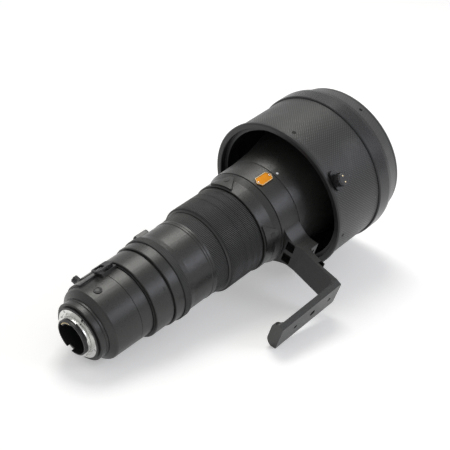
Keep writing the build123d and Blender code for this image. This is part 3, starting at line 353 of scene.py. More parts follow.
grain_and_glint_group, grain_in, grain_and_glint_end = new_group(
    "paint_grain_and_glint", {"Bead Size mm": 0.5, "Drift Size mm": 30.0}, ["Bead", "Drift", "Sparkle"]
)
bead = noise(grain_and_glint_group, grain_in["Bead Size mm"], Detail=2.0, Roughness=0.6)
drift = noise(grain_and_glint_group, grain_in["Drift Size mm"], Detail=3.0)
# Painted glint: a mask on the tops of the beads, where the paint is given a paler colour.
painted_glint = spread(grain_and_glint_group, bead, glint_starts, glint_full)
wire(grain_and_glint_group, grain_and_glint_end, Bead=bead, Drift=drift, Sparkle=painted_glint)

# %% [markdown]
# ### Soft edges
#
# No machined edge is a knife edge. A real round on every edge would cost many faces, and the Bevel node
# does as much for the eye: it turns the surface's normal near an edge as a small round would, so the edge
# catches light. Where that normal differs from the flat one, the difference, broken into patches, is the
# mask of paler edges: partly paint rubbed thin, partly a painted highlight.

# %% Group: soft edges
edge_starts, edge_full = 0.99, 0.85    # how far the two normals still agree
patch_starts, patch_full = 0.35, 0.6

edge_group, edge_in, edge_end = new_group(
    "soft_edges", {"Round mm": 0.3, "Patch Size mm": 6.0}, ["Normal", "Rub"]
)
edge_radius = math(edge_group, "MULTIPLY", edge_in["Round mm"], mm)
rounded = add(edge_group, "ShaderNodeBevel", samples=6, Radius=edge_radius).outputs["Normal"]
flat = add(edge_group, "ShaderNodeNewGeometry").outputs["Normal"]
compare = add(edge_group, "ShaderNodeVectorMath", operation="DOT_PRODUCT")
put(edge_group, rounded, compare.inputs[0])
put(edge_group, flat, compare.inputs[1])
turned_away = spread(edge_group, compare.outputs["Value"], edge_starts, edge_full)
patches = noise(edge_group, edge_in["Patch Size mm"], Detail=4.0)
patchy = spread(edge_group, patches, patch_starts, patch_full)
# This edge mask marks where the finish is made paler: partly wear, partly painted highlight.
wire(edge_group, edge_end, Normal=rounded, Rub=math(edge_group, "MULTIPLY", turned_away, patchy))

# %% [markdown]
# ### Dust
#
# A lens that has been out of its case carries specks and a few smudges. A fine noise would give an even
# haze, but specks lie apart, so they are dots in the cells of a Voronoi pattern. Only some cells keep
# theirs, chosen by the random colour of the cell.

# %% Group: dust
speck_edge, speck_core = 0.09, 0.05    # shares of a cell's width
smudge_scale = 22.0
smudge_starts, smudge_full = 0.58, 0.8

dust_group, dust_in, dust_end = new_group("dust", {"Spacing mm": 6.0, "Share": 0.3}, ["Specks", "Smudge"])
where = object_place(dust_group)
cell_scale = math(dust_group, "DIVIDE", 1 / mm, dust_in["Spacing mm"])
cells = add(dust_group, "ShaderNodeTexVoronoi", Vector=where, Scale=cell_scale).outputs
dot = spread(dust_group, cells["Distance"], speck_edge, speck_core)
lot = add(dust_group, "ShaderNodeSeparateColor", Color=cells["Color"]).outputs["Red"]
specks = math(dust_group, "MULTIPLY", dot, math(dust_group, "LESS_THAN", lot, dust_in["Share"]))
smudge = add(dust_group, "ShaderNodeTexNoise", Vector=where, Scale=smudge_scale, Detail=6.0, Roughness=0.65)
smudges = spread(dust_group, smudge.outputs["Fac"], smudge_starts, smudge_full)
wire(dust_group, dust_end, Specks=specks, Smudge=smudges)

# %% [markdown]
# ### Round the barrel
#
# Ribs, lathe rings and weave follow the barrel, not the three axes. UV maps could be unrolled piece by
# piece, but every barrel shares one axis, so a little arithmetic unrolls them all. It says how far round
# the surface is, how far along, and how far from the axis, all in millimetres.

# %% Group: unrolled barrel
unroll_group, unroll_in, unroll_end = new_group(
    "unrolled_barrel", {"Barrel Radius mm": 50.0}, ["Around mm", "Along mm", "Radius mm"]
)
place = add(unroll_group, "ShaderNodeSeparateXYZ", Vector=object_place(unroll_group)).outputs
turn = math(unroll_group, "ARCTAN2", place["Z"], place["X"])
square = math(unroll_group, "MULTIPLY", place["X"], place["X"])
square = math(unroll_group, "MULTIPLY_ADD", place["Z"], place["Z"], square)
wire(
    unroll_group, unroll_end,
    Around_mm=math(unroll_group, "MULTIPLY", turn, unroll_in["Barrel Radius mm"]),
    Along_mm=math(unroll_group, "MULTIPLY", place["Y"], 1 / mm),
    Radius_mm=math(unroll_group, "MULTIPLY", math(unroll_group, "SQRT", square), 1 / mm),
)

# %% [markdown]
# ## Layers
#
# A finish is built up in layers: a tone that drifts, a painted glint on the tops of the beads, paler edges
# that are partly rubbed thin and partly a painted highlight, and dust on top of it all. One large colour
# ramp could mimic the sum, but layers can be put on and taken off one by one. Each is a colour laid over
# what is below it, wherever a mask lets it show. A height in millimetres does the same for the surface.

# %% Layers
noise_low, noise_high = 0.3, 0.7       # nearly all of a noise's values lie between these


def scaled(tone, factor):
    """A tone made darker or paler."""
    return shade(*(channel * factor for channel in tone))


def spread_noise(tree, value, low=0.0, high=1.0):
    """Spreads a noise over a whole range."""
    return spread(tree, value, noise_low, noise_high, low, high)


def lay_over(tree, mask, below, strength, above):
    """Lays a colour over another where a mask is, as strongly as it says."""
    return blend_colours(tree, math(tree, "MULTIPLY", mask, strength), below, above)


def raise_normal(tree, height, height_mm, normal=None):
    """The normal of a surface raised by so many millimetres, on top of another normal."""
    node = add(tree, "ShaderNodeBump", Strength=1.0, Distance=height_mm * mm, Height=height)
    if normal is not None:
        wire(tree, node, Normal=normal)
    return node.outputs["Normal"]


print("noise spread from", noise_low, "to", noise_high)

# %% [markdown]
# ## Painted metal and plastic
#
# The barrels are magnesium under a dark grey satin paint, and the small fittings are moulded or blackened.
# A function for each would say the same thing six times. One function makes them all, because they differ
# only in their tone, their gloss and the size of their grain, and a recipe holds those.

# %% Painted finishes
paint_edge_mm = 0.3
paint_drift = 0.14                     # how far the tone wanders to either side, as a share
glint_gain = 3.0                     # how many times paler a bead's painted glint is
glint_strength = 0.5
edge_wear_and_highlight_strength = 0.55
paint_speck_share = 0.12
paint_specks = (0.25, grey(0.35))      # how strongly the specks show, and their tone

paint_recipes = {
    # gloss is the range of the roughness, and grain the width and the height of the beads in mm
    # the last grey is that of the paler edges: partly wear, partly painted highlight
    "barrel_paint": dict(tone=(0.017, 0.017, 0.016), gloss=(0.24, 0.44), grain=(0.9, 0.11), worn_and_lit=0.08),
    "smooth_paint": dict(tone=(0.016, 0.016, 0.018), gloss=(0.22, 0.34), grain=(0.6, 0.010), worn_and_lit=0.08),
    "moulded_plastic": dict(tone=(0.010, 0.010, 0.011), gloss=(0.34, 0.48), grain=(0.5, 0.03), worn_and_lit=0.04),
    "blackened_steel": dict(
        tone=(0.005, 0.005, 0.005), gloss=(0.30, 0.42), grain=(0.5, 0.02), worn_and_lit=0.03, specular=0.15
    ),
    "glossy_black": dict(tone=(0.008, 0.008, 0.009), gloss=(0.16, 0.26), grain=(0.6, 0.010), worn_and_lit=0.06),
    "white_ink": dict(tone=(0.75, 0.75, 0.75), gloss=(0.45, 0.60), grain=(0.4, 0.01), worn_and_lit=0.7),
}


def painted(name, tone, gloss, grain, worn_and_lit, specular=0.5):
    """Satin paint with a grain of beads, their painted glint, and edges paled by wear and painted
    highlight.
    """
    material, tree, bsdf = new_material(name)
    bead_width, bead_height = grain
    beads_and_glint = place_group(tree, grain_and_glint_group, Bead_Size_mm=bead_width)
    edges = place_group(tree, edge_group, Round_mm=paint_edge_mm)
    dust = place_group(tree, dust_group, Share=paint_speck_share)
    darker, lighter = scaled(tone, 1 - paint_drift), scaled(tone, 1 + paint_drift)
    colour = blend_colours(tree, spread_noise(tree, beads_and_glint["Drift"]), darker, lighter)
    # Painted glint: the tops of the beads are painted paler.
    colour = lay_over(tree, beads_and_glint["Sparkle"], colour, glint_strength, scaled(tone, glint_gain))
    # Paler edges: partly wear, partly painted highlight.
    colour = lay_over(tree, edges["Rub"], colour, edge_wear_and_highlight_strength, grey(worn_and_lit))
    colour = lay_over(tree, dust["Specks"], colour, *paint_specks)
    roughness = spread_noise(tree, beads_and_glint["Bead"], *gloss)
    normal = raise_normal(tree, beads_and_glint["Bead"], bead_height, edges["Normal"])
    wire(tree, bsdf, Base_Color=colour, Roughness=roughness, Normal=normal, Specular_IOR_Level=specular)
    return material


paint = {name: painted(name, **recipe) for name, recipe in paint_recipes.items()}
print("painted finishes", list(paint))

# %% [markdown]
# ## Rubber
#
# The grips are moulded rubber: duller than the paint, with dust caught in it. On a ribbed grip the valleys
# lie in shade. The renderer finds some of that shade by itself, and the rest is painted shade: a wave
# counts the ribs as it goes round and has its lows where the mesh has its valleys, and there the rubber is
# painted darker and made rougher.

# %% Rubber
rubber_drift = (0.8, 1.25)             # the darkest and the palest tone, as shares
rubber_grain = (0.6, 0.02)             # mm across and mm high
rubber_gloss = (0.40, 0.58)
rubber_specks = (0.3, grey(0.20))
rubber_smudge = (0.12, grey(0.10))
valley_brow, valley_floor = 0.3, -0.7  # heights of the wave
valley_shade_tone = 0.1                      # share of the tone left in a valley, as painted shade
valley_roughness = 0.9

focus_rib_count = 186
preset_rib_count = 172
selector_rib_count = 216


def rubber(name, tone, ribs=0):
    """Moulded rubber. With ribs, the count round the grip, the valleys get painted shade and more
    roughness.
    """
    material, tree, bsdf = new_material(name)
    grain_width, grain_height = rubber_grain
    grain = place_group(tree, grain_and_glint_group, Bead_Size_mm=grain_width, Drift_Size_mm=12.0)
    edges = place_group(tree, edge_group, Round_mm=0.15)
    dust = place_group(tree, dust_group, Spacing_mm=4.0, Share=0.25)
    darkest, palest = (grey(tone * share) for share in rubber_drift)
    colour = blend_colours(tree, grain["Drift"], darkest, palest)
    colour = lay_over(tree, dust["Specks"], colour, *rubber_specks)
    colour = lay_over(tree, dust["Smudge"], colour, *rubber_smudge)
    roughness = spread_noise(tree, grain["Bead"], *rubber_gloss)
    if ribs:
        turn = place_group(tree, unroll_group, Barrel_Radius_mm=1.0)["Around mm"]
        wave = math(tree, "COSINE", math(tree, "MULTIPLY", turn, float(ribs)))
        # Painted shade: the valleys between the ribs are painted darker and made rougher.
        valley = spread(tree, wave, valley_brow, valley_floor)
        colour = blend_colours(tree, valley, colour, grey(tone * valley_shade_tone))
        roughness = math(tree, "MAXIMUM", roughness, math(tree, "MULTIPLY", valley, valley_roughness))
    normal = raise_normal(tree, grain["Bead"], grain_height, edges["Normal"])
    wire(tree, bsdf, Base_Color=colour, Roughness=roughness, Normal=normal, Sheen_Weight=0.03)
    return material


grip_rubber = rubber("grip_rubber", 0.017)
focus_rubber = rubber("focus_rubber", 0.034, focus_rib_count)
preset_rubber = rubber("preset_rubber", 0.030, preset_rib_count)
selector_rubber = rubber("selector_rubber", 0.030, selector_rib_count)
print("rubber with ribs", focus_rib_count, preset_rib_count, selector_rib_count)

# %% [markdown]
# ## Woven carbon
#
# The hood is laid up in carbon cloth under a satin lacquer. Seen close, it is a fine weave of flat
# threads, each over one and under the next, so that the crowns stand in a chequer. A real weave of meshes
# would be lost at this distance, and a Checker Texture has no crowns. So the pattern is worked out from
# two counts, threads round and threads along.

# %% Weave
thread_pitch = 1.7       # mm
hood_radius_mm = outer_radius("hood_tube") / mm


def weave(tree, wrap):
    """Where the raised threads of a plain weave are, and the crown of each thread from nought to one."""
    threads_round = math(tree, "DIVIDE", wrap["Around mm"], thread_pitch)
    threads_along = math(tree, "DIVIDE", wrap["Along mm"], thread_pitch)
    step = math(tree, "ADD", math(tree, "FLOOR", threads_round), math(tree, "FLOOR", threads_along))
    raised = math(tree, "LESS_THAN", math(tree, "FLOORED_MODULO", step, 2.0), 0.5)
    crown_round = math(tree, "PINGPONG", threads_round, 0.5)
    crown_along = math(tree, "PINGPONG", threads_along, 0.5)
    crown = math(tree, "MULTIPLY", math(tree, "MULTIPLY", crown_round, crown_along), 4.0)
    return raised, crown


print("threads round the hood", round(2 * pi * hood_radius_mm / thread_pitch))

# %% [markdown]
# ### The hood's skin and lining
#
# At the hood's nose the cloth ends at a dark line, and a smooth rim follows. Inside, the hood is flocked
# deep black to swallow stray light. Two materials would need the hood split in two, so one does both: the
# distance from the axis tells the inside from the outside. In front of the tube the hood narrows, so
# there the lining stops.

# %% Woven carbon
# Painted sheen and shade of the weave: raised threads are painted paler, sunk threads and crown edges
# darker.
sunk_thread_shade, raised_thread_sheen = grey(0.010), grey(0.052)
crown_full = 0.3                       # the height at which a raised thread shows its painted sheen
thread_height = 0.25                   # mm
haze_starts, haze_full = 0.35, 0.7
haze_strength, haze_tone = 0.2, grey(0.06)
carbon_gloss = (0.36, 0.50)
raised_shine = 0.08                    # how much less rough a raised thread is
carbon_specks = (0.7, grey(0.35))
carbon_smudge = (0.28, grey(0.14))
carbon_wear_and_highlight = (0.5, grey(0.12))
nose_line = 423.6                      # mm, station of the dark line where the smooth rim starts
nose_line_half = 0.8                   # mm
nose_line_tone, nose_rim_tone, lining_tone = grey(0.002), grey(0.045), grey(0.002)
hood_skin = 1.2                        # mm under the outside where the black lining starts
lining_end = stations("hood_tube")[1] / mm - 0.5


def woven_carbon(name):
    """Carbon cloth under satin lacquer, with the hood's smooth rim and its black lining."""
    material, tree, bsdf = new_material(name)
    wrap = place_group(tree, unroll_group, Barrel_Radius_mm=hood_radius_mm)
    edges = place_group(tree, edge_group, Round_mm=0.3)
    dust = place_group(tree, dust_group, Spacing_mm=7.0, Share=0.10)
    grain = place_group(tree, grain_and_glint_group, Bead_Size_mm=0.6, Drift_Size_mm=45.0)
    raised, crown = weave(tree, wrap)
    # Painted sheen on the raised threads, painted shade on the sunk ones and round each crown.
    colour = blend_colours(tree, raised, sunk_thread_shade, raised_thread_sheen)
    colour = blend_colours(tree, spread(tree, crown, 0.0, crown_full), sunk_thread_shade, colour)
    haze = spread(tree, grain["Drift"], haze_starts, haze_full, 0.0, haze_strength)
    colour = blend_colours(tree, haze, colour, haze_tone)
    rim = math(tree, "GREATER_THAN", wrap["Along mm"], nose_line)
    colour = blend_colours(tree, rim, colour, nose_rim_tone)
    line = math(tree, "COMPARE", wrap["Along mm"], nose_line, nose_line_half)
    colour = blend_colours(tree, line, colour, nose_line_tone)
    colour = lay_over(tree, dust["Specks"], colour, *carbon_specks)
    colour = lay_over(tree, dust["Smudge"], colour, *carbon_smudge)
    # Paler edges: partly wear, partly painted highlight.
    colour = lay_over(tree, edges["Rub"], colour, *carbon_wear_and_highlight)
    inside = math(tree, "LESS_THAN", wrap["Radius mm"], hood_radius_mm - hood_skin)
    lining = math(tree, "MULTIPLY", inside, math(tree, "LESS_THAN", wrap["Along mm"], lining_end))
    colour = blend_colours(tree, lining, colour, lining_tone)
    roughness = spread_noise(tree, grain["Bead"], *carbon_gloss)
    roughness = math(tree, "SUBTRACT", roughness, math(tree, "MULTIPLY", raised, raised_shine))
    roughness = math(tree, "MAXIMUM", roughness, lining)
    height = math(tree, "MULTIPLY", math(tree, "MULTIPLY", crown, raised), math(tree, "SUBTRACT", 1.0, rim))
    normal = raise_normal(tree, height, thread_height, edges["Normal"])
    wire(tree, bsdf, Base_Color=colour, Roughness=roughness, Normal=normal)
    return material


hood_cloth = woven_carbon("hood_cloth")
print("lining ends at mm", round(lining_end, 1), "nose line at mm", nose_line)

# %% [markdown]
# ## Bright metal
#
# The mount is chromed brass, turned on a lathe, so its faces carry very fine rings. The badge is brass
# under gold lacquer, and the contacts are gilt. A metal has no base colour of its own but that of its
# reflections, so the work is in the roughness and in the direction of the scratches. An anisotropic shader
# could stretch the highlights, but real rings, drawn as a noise of radius and station alone, do it on
# every face, whichever way it points.

# %% Lathe-turned metal
metal_edge_mm = 0.12
metal_drift_mm = 9.0
tarnish = 0.82           # the darkest tone, as a share

metal_recipes = {
    # rings is the width and the height of the lathe's rings in mm
    "mount_steel": dict(tone=(0.78, 0.78, 0.76), gloss=(0.16, 0.30), rings=(0.12, 0.004)),
    "screw_steel": dict(tone=(0.50, 0.50, 0.50), gloss=(0.25, 0.40), rings=(0.2, 0.004)),
    "gold_lacquer": dict(tone=(0.58, 0.225, 0.018), gloss=(0.42, 0.56), rings=(0.25, 0.003)),
    "contact_gold": dict(tone=(0.80, 0.66, 0.40), gloss=(0.15, 0.25), rings=(0.2, 0.002)),
}


def turned_metal(name, tone, gloss, rings):
    """Metal off a lathe, with fine rings round the axis."""
    material, tree, bsdf = new_material(name)
    ring_width, ring_height = rings
    wrap = place_group(tree, unroll_group)
    edges = place_group(tree, edge_group, Round_mm=metal_edge_mm)
    drift = place_group(tree, grain_and_glint_group, Drift_Size_mm=metal_drift_mm)["Drift"]
    outwards = math(tree, "DIVIDE", wrap["Radius mm"], ring_width)
    along = math(tree, "DIVIDE", wrap["Along mm"], ring_width)
    place = add(tree, "ShaderNodeCombineXYZ", X=outwards, Y=along).outputs[0]
    turning = add(tree, "ShaderNodeTexNoise", noise_dimensions="2D", Vector=place, Scale=1.0, Detail=3.0)
    turning = turning.outputs["Fac"]
    colour = blend_colours(tree, drift, scaled(tone, tarnish), scaled(tone, 1.0))
    roughness = spread_noise(tree, turning, *gloss)
    normal = raise_normal(tree, turning, ring_height, edges["Normal"])
    wire(tree, bsdf, Base_Color=colour, Roughness=roughness, Normal=normal, Metallic=1.0)
    return material


metal = {name: turned_metal(name, **recipe) for name, recipe in metal_recipes.items()}
print("metals", list(metal))

# %% [markdown]
# ## Glass
#
# Lens glass is clear, with a coating that tints what it reflects. The coating is far too thin to model,
# and a Principled BSDF with full transmission already has a socket for the tint of its reflections. The
# body has a faint green, uneven as a smear left by a cloth.

# %% Glass
smear_scale = 30.0
glass_tone, smear_tone = shade(0.80, 0.90, 0.86), shade(0.88, 0.95, 0.92)

coated_glass, tree, bsdf = new_material("coated_glass")
smear = add(tree, "ShaderNodeTexNoise", Scale=smear_scale, Detail=4.0).outputs["Fac"]
wire(tree, bsdf, Base_Color=blend_colours(tree, smear, glass_tone, smear_tone), Roughness=0.0)
wire(tree, bsdf, Transmission_Weight=1.0, IOR=1.52)
wire(tree, bsdf, Specular_Tint=shade(0.55, 0.85, 0.75), Specular_IOR_Level=0.12)
print("glass", coated_glass.name)

# %% [markdown]
# ## Blacked inside
#
# Inside the barrel the walls are matt black and cut with fine steps, which stop light from skating along
# them. As meshes they would be hundreds of rings that no one sees. A zigzag of height does it, counted
# along and outwards at once, so that walls and flat faces both get their steps.

# %% Blacked inside
step_pitch = 1.2         # mm between the light-stopping steps
step_height = 0.2        # mm
blacked_gloss = (0.6, 0.8)

blacked, tree, bsdf = new_material("blacked_inside")
wrap = place_group(tree, unroll_group)
grain = place_group(tree, grain_and_glint_group, Bead_Size_mm=0.4)
inward = math(tree, "ADD", wrap["Along mm"], wrap["Radius mm"])
steps = math(tree, "PINGPONG", math(tree, "DIVIDE", inward, step_pitch), 0.5)
colour = blend_colours(tree, grain["Drift"], grey(0.008), grey(0.014))
roughness = spread_noise(tree, grain["Bead"], *blacked_gloss)
wire(tree, bsdf, Base_Color=colour, Roughness=roughness, Normal=raise_normal(tree, steps, step_height))
print("blacked", blacked.name)

# %% [markdown]
# ## Dressing the CAD nodes
#
# Each node of the frame names the material slot it was drawn for. Sixty assignments by hand would be easy
# to get wrong, so a table from slot to finish dresses them all in one loop. A second table holds the few
# nodes whose finish differs from that of their slot.

# %% Dress the nodes
finish_of_slot = {
    "black_barrel": paint["barrel_paint"],
    "black_smooth": paint["smooth_paint"],
    "hood_carbon": hood_cloth,
    "grip_rubber": grip_rubber,
    "mount_chrome": metal["mount_steel"],
    "screw_steel": metal["screw_steel"],
    "black_plastic": paint["moulded_plastic"],
    "gold_plate": metal["gold_lacquer"],
    "contact_gold": metal["contact_gold"],
    "lens_glass": coated_glass,
    "inner_black": blacked,
}
finish_of_node = {
    "hood_screws": paint["blackened_steel"],
    "foot_screws": paint["blackened_steel"],
    "hood_rim": paint["moulded_plastic"],
    "strap_lugs": paint["glossy_black"],
    "main_cell": paint["blackened_steel"],
}
for part in frame["record"]["subparts"]:
    finish = finish_of_node.get(part["node"], finish_of_slot[part["material_slot"]])
    for place in frame["nodes"][part["node"]].material_slots:
        place.material = finish

# %% [markdown]
# ## Pieces made here
#
# The CAD grips have coarse ribs. The real ones are far finer, and fine things are what the eye reads as
# real, so they are modelled again here and stand in for the CAD nodes. Each new piece is drawn as a mesh
# that is already in its place, and then rides on its body. Faces that meet at a gentle angle are shaded
# as one smooth surface.

# %% Turn a mesh into a piece
crease = radians(38)     # edges sharper than this stay crisp


def make_piece(name, mesh, material, body, stands_for=()):
    """A piece of the lens from a mesh drawn in place. Ink has no slot of its own in the record."""
    mesh.shade_smooth()
    mesh.set_sharp_from_angle(angle=crease)
    mesh.materials.append(material)
    piece = bpy.data.objects.new(name, mesh)
    bpy.context.scene.collection.objects.link(piece)
    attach(piece, body)
    if stands_for:
        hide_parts(*stands_for)
    print("piece", name, "rides on", body, "with faces", len(mesh.polygons))


# %% [markdown]
# ### Ribbed sleeves
#
# A ribbed grip is a tube whose outside goes in and out as it goes round. Its ribs are rounded on top with
# narrow valleys between. One rib could be modelled and repeated with an Array modifier, but its ends would
# not close up neatly on a cone. Here a profile is turned on a lathe, and the radius of its ribbed points
# follows a wave. Squaring the wave makes the crowns broad and the valleys narrow.

# %% Ribbed sleeve
samples_per_rib = 8


def ribbed_sleeve(name, profile, ribs, depth, ribbed_points):
    """Turns (radius, station) points about the axis, with ribs over those whose index is given."""
    verts, faces = [], []
    rows = len(profile)
    steps = ribs * samples_per_rib
    for k in range(steps):
        angle = 2 * pi * k / steps
        valley = 0.5 - 0.5 * cos(angle * ribs)
        for i, (radius, station) in enumerate(profile):
            if i in ribbed_points:
                radius -= depth * valley ** 2
            verts.append((radius * cos(angle), station, radius * sin(angle)))
    for k in range(steps):
        here, there = k * rows, (k + 1) % steps * rows
        for i in range(rows):
            j = (i + 1) % rows
            faces.append((here + i, there + i, there + j, here + j))
    mesh = bpy.data.meshes.new(name)
    mesh.from_pydata(verts, [], faces)
    mesh.validate()
    return mesh


print("points round the focus grip", focus_rib_count * samples_per_rib)

# %% [markdown]
# ### Focus grip
#
# The broad sleeve that the hand turns has ribs from end to end, and they run over its bevels too. Three
# shallow grooves cross them. A bump would draw both well enough from the front, but the ribs also show as
# a fine saw edge against the white table, so they are real.

# %% Focus grip
focus_rib_depth = 0.95 * mm
focus_wall = 1.6 * mm
rear_bevel_length, rear_bevel_drop = 1.2 * mm, 1.1 * mm
front_bevel_length, front_bevel_drop = 0.9 * mm, 0.8 * mm
groove_depth = 0.35 * mm
groove_half = 0.25 * mm
focus_grooves = (0.46, 0.66, 0.86)     # shares of the grip's length

rear, front = stations("focus_grip")
outside = outer_radius("focus_grip")
inside = outside - focus_wall
profile = [(inside, rear), (outside - rear_bevel_drop, rear), (outside, rear + rear_bevel_length)]
for share in focus_grooves:
    station = rear + share * (front - rear)
    profile += [
        (outside, station - 2 * groove_half), (outside - groove_depth, station - groove_half),
        (outside - groove_depth, station + groove_half), (outside, station + 2 * groove_half),
    ]
profile += [(outside, front - front_bevel_length), (outside - front_bevel_drop, front), (inside, front)]
ribbed = range(1, len(profile) - 2)
mesh = ribbed_sleeve("focus_ribs", profile, focus_rib_count, focus_rib_depth, ribbed)
make_piece("focus_ribs", mesh, focus_rubber, "focus_turner", ["focus_grip"])
print("focus rib pitch mm", round(2 * pi * outside / focus_rib_count / mm, 2))

# %% [markdown]
# ### Preset grip
#
# Behind the focus grip stands the ring that springs back, with a narrow cone of the same ribs. The lathe
# needs nothing new for that: the rear of the profile has a smaller radius than its front.

# %% Preset grip
preset_rib_depth = 0.55 * mm
preset_wall = 1.3 * mm
preset_sink = 0.2 * mm                 # the grip's rear edge lies this far under the ring's rim
preset_bevel = 0.6 * mm

rear, front = stations("preset_grip")
front_radius = outer_radius("preset_grip")
rear_radius = outer_radius("preset_ring") - preset_sink
inside = rear_radius - preset_wall
profile = [
    (inside, rear), (rear_radius, rear), (front_radius, front - preset_bevel),
    (front_radius - preset_bevel, front), (inside, front),
]
mesh = ribbed_sleeve("preset_ribs", profile, preset_rib_count, preset_rib_depth, range(1, 4))
make_piece("preset_ribs", mesh, preset_rubber, "preset_turner", ["preset_grip"])
print("preset rib pitch mm", round(2 * pi * front_radius / preset_rib_count / mm, 2))

# %% [markdown]
# ### Stabiliser ring
#
# The narrow ring that sets the stabiliser has a fine knurl between two plain rims. Both ends are alike, so
# one is drawn, counted inwards from its end face, and the other is its mirror image.

# %% Stabiliser ring
selector_rib_depth = 0.35 * mm
selector_wall = 6.5 * mm
selector_rim = 0.9 * mm                # width of the plain rim
selector_bevel = 0.6 * mm
knurl_rise, knurl_slope = 0.1 * mm, 0.2 * mm   # how the knurl climbs above the rim, and over what length

rear, front = stations("vr_ring")
outside = outer_radius("vr_ring")
rim = outside - knurl_rise
one_end = [
    (outside - selector_wall, 0), (rim - selector_bevel, 0), (rim, selector_bevel), (rim, selector_rim),
    (outside, selector_rim + knurl_slope),
]
profile = [(radius, rear + inwards) for radius, inwards in one_end]
profile += [(radius, front - inwards) for radius, inwards in reversed(one_end)]
mesh = ribbed_sleeve("selector_knurl", profile, selector_rib_count, selector_rib_depth, (4, 5))
make_piece("selector_knurl", mesh, selector_rubber, "vr_selector", ["vr_ring"])
print("selector rib pitch mm", round(2 * pi * outside / selector_rib_count / mm, 2))

# %% [markdown]
# ### Small marks
#
# The little things that stand proud of the barrel are nearly all short round studs: the cap of the memory
# button, the badge's rivets, the index dot, two pin heads and the dots of the hood's clamp. A cylinder
# primitive has knife edges and would have to be turned and sunk into place. A stud here is a stack of
# rings drawn round its own Z axis and then seated on the surface that carries it.

# %% Studs
stud_steps = 24


def polar(angle, radius, station):
    """A point at an angle round the axis, in degrees from +X towards +Z."""
    a = radians(angle)
    return Vector((radius * cos(a), station, radius * sin(a)))


def seat(angle, radius, station):
    """Places a piece drawn round its own Z axis so that it stands outwards on the barrel."""
    outward = polar(angle, 1, 0)
    forward = Vector((0, 1, 0))
    sideways = outward.cross(forward)
    turn = Matrix((forward, sideways, outward)).transposed().to_4x4()
    return Matrix.Translation(polar(angle, radius, station)) @ turn


def rounded_top(radius, height):
    """The rings (radius, height) of a stud with a rounded rim."""
    return [(radius, 0), (radius, 0.6 * height), (0.86 * radius, 0.92 * height), (0.5 * radius, height)]


def studs(name, places, rings, material, body, stands_for=()):
    """Round studs with the same rings, one at each (angle, seat radius, station)."""
    verts, faces = [], []
    for place in places:
        first = len(verts)
        stand = seat(*place)
        for radius, height in rings:
            for k in range(stud_steps):
                a = 2 * pi * k / stud_steps
                verts.append(stand @ Vector((radius * cos(a), radius * sin(a), height)))
        for row in range(len(rings) - 1):
            here, there = first + row * stud_steps, first + (row + 1) * stud_steps
            for k in range(stud_steps):
                after = (k + 1) % stud_steps
                faces.append((here + k, here + after, there + after, there + k))
        top = first + (len(rings) - 1) * stud_steps
        faces.append(tuple(first + k for k in reversed(range(stud_steps))))
        faces.append(tuple(top + k for k in range(stud_steps)))
    mesh = bpy.data.meshes.new(name)
    mesh.from_pydata(verts, [], faces)
    mesh.validate()
    make_piece(name, mesh, material, body, stands_for)


print("a stud's rings in mm", [(round(r, 2), round(z, 2)) for r, z in rounded_top(1.0, 0.3)])

# %% [markdown]
# ### Memory button
#
# The button beside the filter holder has a soft rim and a shallow dish for the fingertip. Its rings start
# well below the barrel's surface, rise to the rim and sink again into the dish. Its place is the middle
# of the CAD button that it stands for.

# %% Memory button
cap_depth = 2.2 * mm
cap_edge_drop, cap_edge_width = 0.3 * mm, 0.25 * mm
cap_rim = 0.9 * mm
dish_depth = 0.45 * mm
slope_foot = 1.6 * cap_rim             # in from the button's edge, where the slope of the dish ends
slope_drop = 0.8 * dish_depth
dish_floor = 0.3                       # share of the button's radius


def middle(node):
    """Angle in degrees and station of the middle of a node's points."""
    points = [vert.co for vert in frame["nodes"][node].data.vertices]
    centre = sum(points, Vector()) / len(points)
    return degrees(atan2(centre.z, centre.x)), centre.y


angle, station = middle("memory_button")
rear, front = stations("memory_button")
half = (front - rear) / 2
top = reach("memory_button", polar(angle, 1, 0))
rings = [
    (half, -cap_depth), (half, -cap_edge_drop), (half - cap_edge_width, 0), (half - cap_rim, 0),
    (half - slope_foot, -slope_drop), (dish_floor * half, -dish_depth),
]
place = [(angle, top, station)]
studs("memory_cap", place, rings, paint["moulded_plastic"], "memory_cap", ["memory_button"])
print("memory button mm", round(half / mm, 2), "angle", round(angle, 1))

# %% [markdown]
# ### Badge
#
# A gold plate with pointed ends lies on the collar, held by two bright rivets. The CAD plate has the right
# outline, and what it lacks is the raised lip that catches the light all round. The outline has six
# corners, so four copies of it, two on the rim and two drawn in by the lip's width, make the lip as one
# closed frame.

# %% Badge rivets
lie_roll = 68.0          # degrees that the lens lies rolled over
badge_angle = lie_roll - 3.3
rivet_inset = 3.2 * mm
rivet_radius, rivet_height = 0.95 * mm, 0.35 * mm

rear, front = stations("badge_plate")
badge_top = reach("badge_plate", polar(badge_angle, 1, 0))
badge_middle = (rear + front) / 2
half_along = (front - rear) / 2
rivets = [(badge_angle, badge_top, badge_middle + end * (half_along - rivet_inset)) for end in (-1, 1)]
rings = rounded_top(rivet_radius, rivet_height)
studs("badge_rivets", rivets, rings, metal["mount_steel"], "collar_and_foot")
print("badge top mm", round(badge_top / mm, 2))

# %% Badge lip
half_across = 6.0 * mm
badge_clip = 3.6 * mm                  # length of the pointed ends
lip_width = 0.7 * mm
lip_height = 0.22 * mm
tip_inset, shoulder_inset = 1.3, 0.5   # how far the corners draw in along the badge, for each 1 across


def badge_outline(inset):
    """The badge's six corners, drawn in by an inset."""
    tip = half_along - tip_inset * inset
    shoulder = half_along - badge_clip - shoulder_inset * inset
    side = half_across - inset
    return [
        (tip, 0), (shoulder, side), (-shoulder, side), (-tip, 0), (-shoulder, -side), (shoulder, -side),
    ]


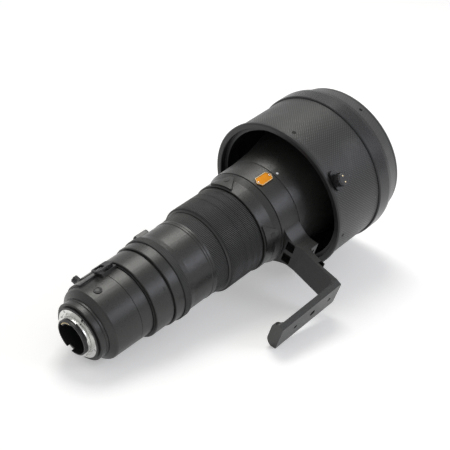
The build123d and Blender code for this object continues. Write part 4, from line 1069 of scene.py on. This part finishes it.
stand = seat(badge_angle, badge_top, badge_middle)
rows = [(0, 0), (0, lip_height), (lip_width, lip_height), (lip_width, 0)]
verts = [stand @ Vector((x, y, z)) for inset, z in rows for x, y in badge_outline(inset)]
corners = len(verts) // len(rows)
faces = []
for i in range(len(rows)):
    here, there = corners * i, corners * ((i + 1) % len(rows))
    for k in range(corners):
        after = (k + 1) % corners
        faces.append((here + k, here + after, there + after, there + k))
mesh = bpy.data.meshes.new("badge_lip")
mesh.from_pydata(verts, [], faces)
mesh.validate()
make_piece("badge_lip", mesh, metal["contact_gold"], "collar_and_foot")

# %% [markdown]
# ### Index dot
#
# A white dot on the front barrel lets the turning collar be set against it. A circle in the barrel's own
# shader would need a mask at this one place. A thin stud of ink is simpler and stays crisp from near by.

# %% Index dot
index_angle = 61.2
index_station = 282.8 * mm
index_seat = 58.85 * mm                # the front barrel's radius there
index_radius, index_height = 1.5 * mm, 0.25 * mm

place = [(index_angle, index_seat, index_station)]
studs("index_dot", place, rounded_top(index_radius, index_height), paint["white_ink"], "lens_body")

# %% [markdown]
# ### Dots of the hood's clamp
#
# The knob that clamps the hood has two gilt dots on its crown. They turn with the knob, so they ride on
# its body, and their seat is the height of all that is stacked on the clamp's base.

# %% Clamp dots
clamp_angle = lie_roll - 41.3
clamp_station = 316.5 * mm
clamp_stem, clamp_knob, clamp_crown = 4.0 * mm, 7.2 * mm, 1.0 * mm     # heights above the base
dot_aside = 3.6 * mm                   # from the knob's middle
dot_radius, dot_height = 0.9 * mm, 0.25 * mm

base_top = reach("hood_clamp_base", polar(clamp_angle, 1, 0))
crown_top = base_top + clamp_stem + clamp_knob + clamp_crown
dot_turn = degrees(dot_aside / crown_top)
dots = [(clamp_angle + side * dot_turn, crown_top, clamp_station) for side in (-1, 1)]
rings = rounded_top(dot_radius, dot_height)
studs("clamp_dots", dots, rings, metal["contact_gold"], "hood_lock")
print("crown top mm", round(crown_top / mm, 2))

# %% [markdown]
# ### Pin heads
#
# Two small blackened pins hold the mid barrel, side by side. They are so small that only their domed tops
# matter, and the same rounded stud serves.

# %% Pin heads
pin_angle = 26.3
pin_spacing = 2.6                      # degrees
pin_station = 86.7 * mm
pin_radius, pin_height = 0.6 * mm, 0.2 * mm

mid_radius = outer_radius("mid_barrel")
pins = [(pin_angle, mid_radius, pin_station), (pin_angle - pin_spacing, mid_radius, pin_station)]
rings = rounded_top(pin_radius, pin_height)
studs("pin_heads", pins, rings, paint["blackened_steel"], "lens_body")
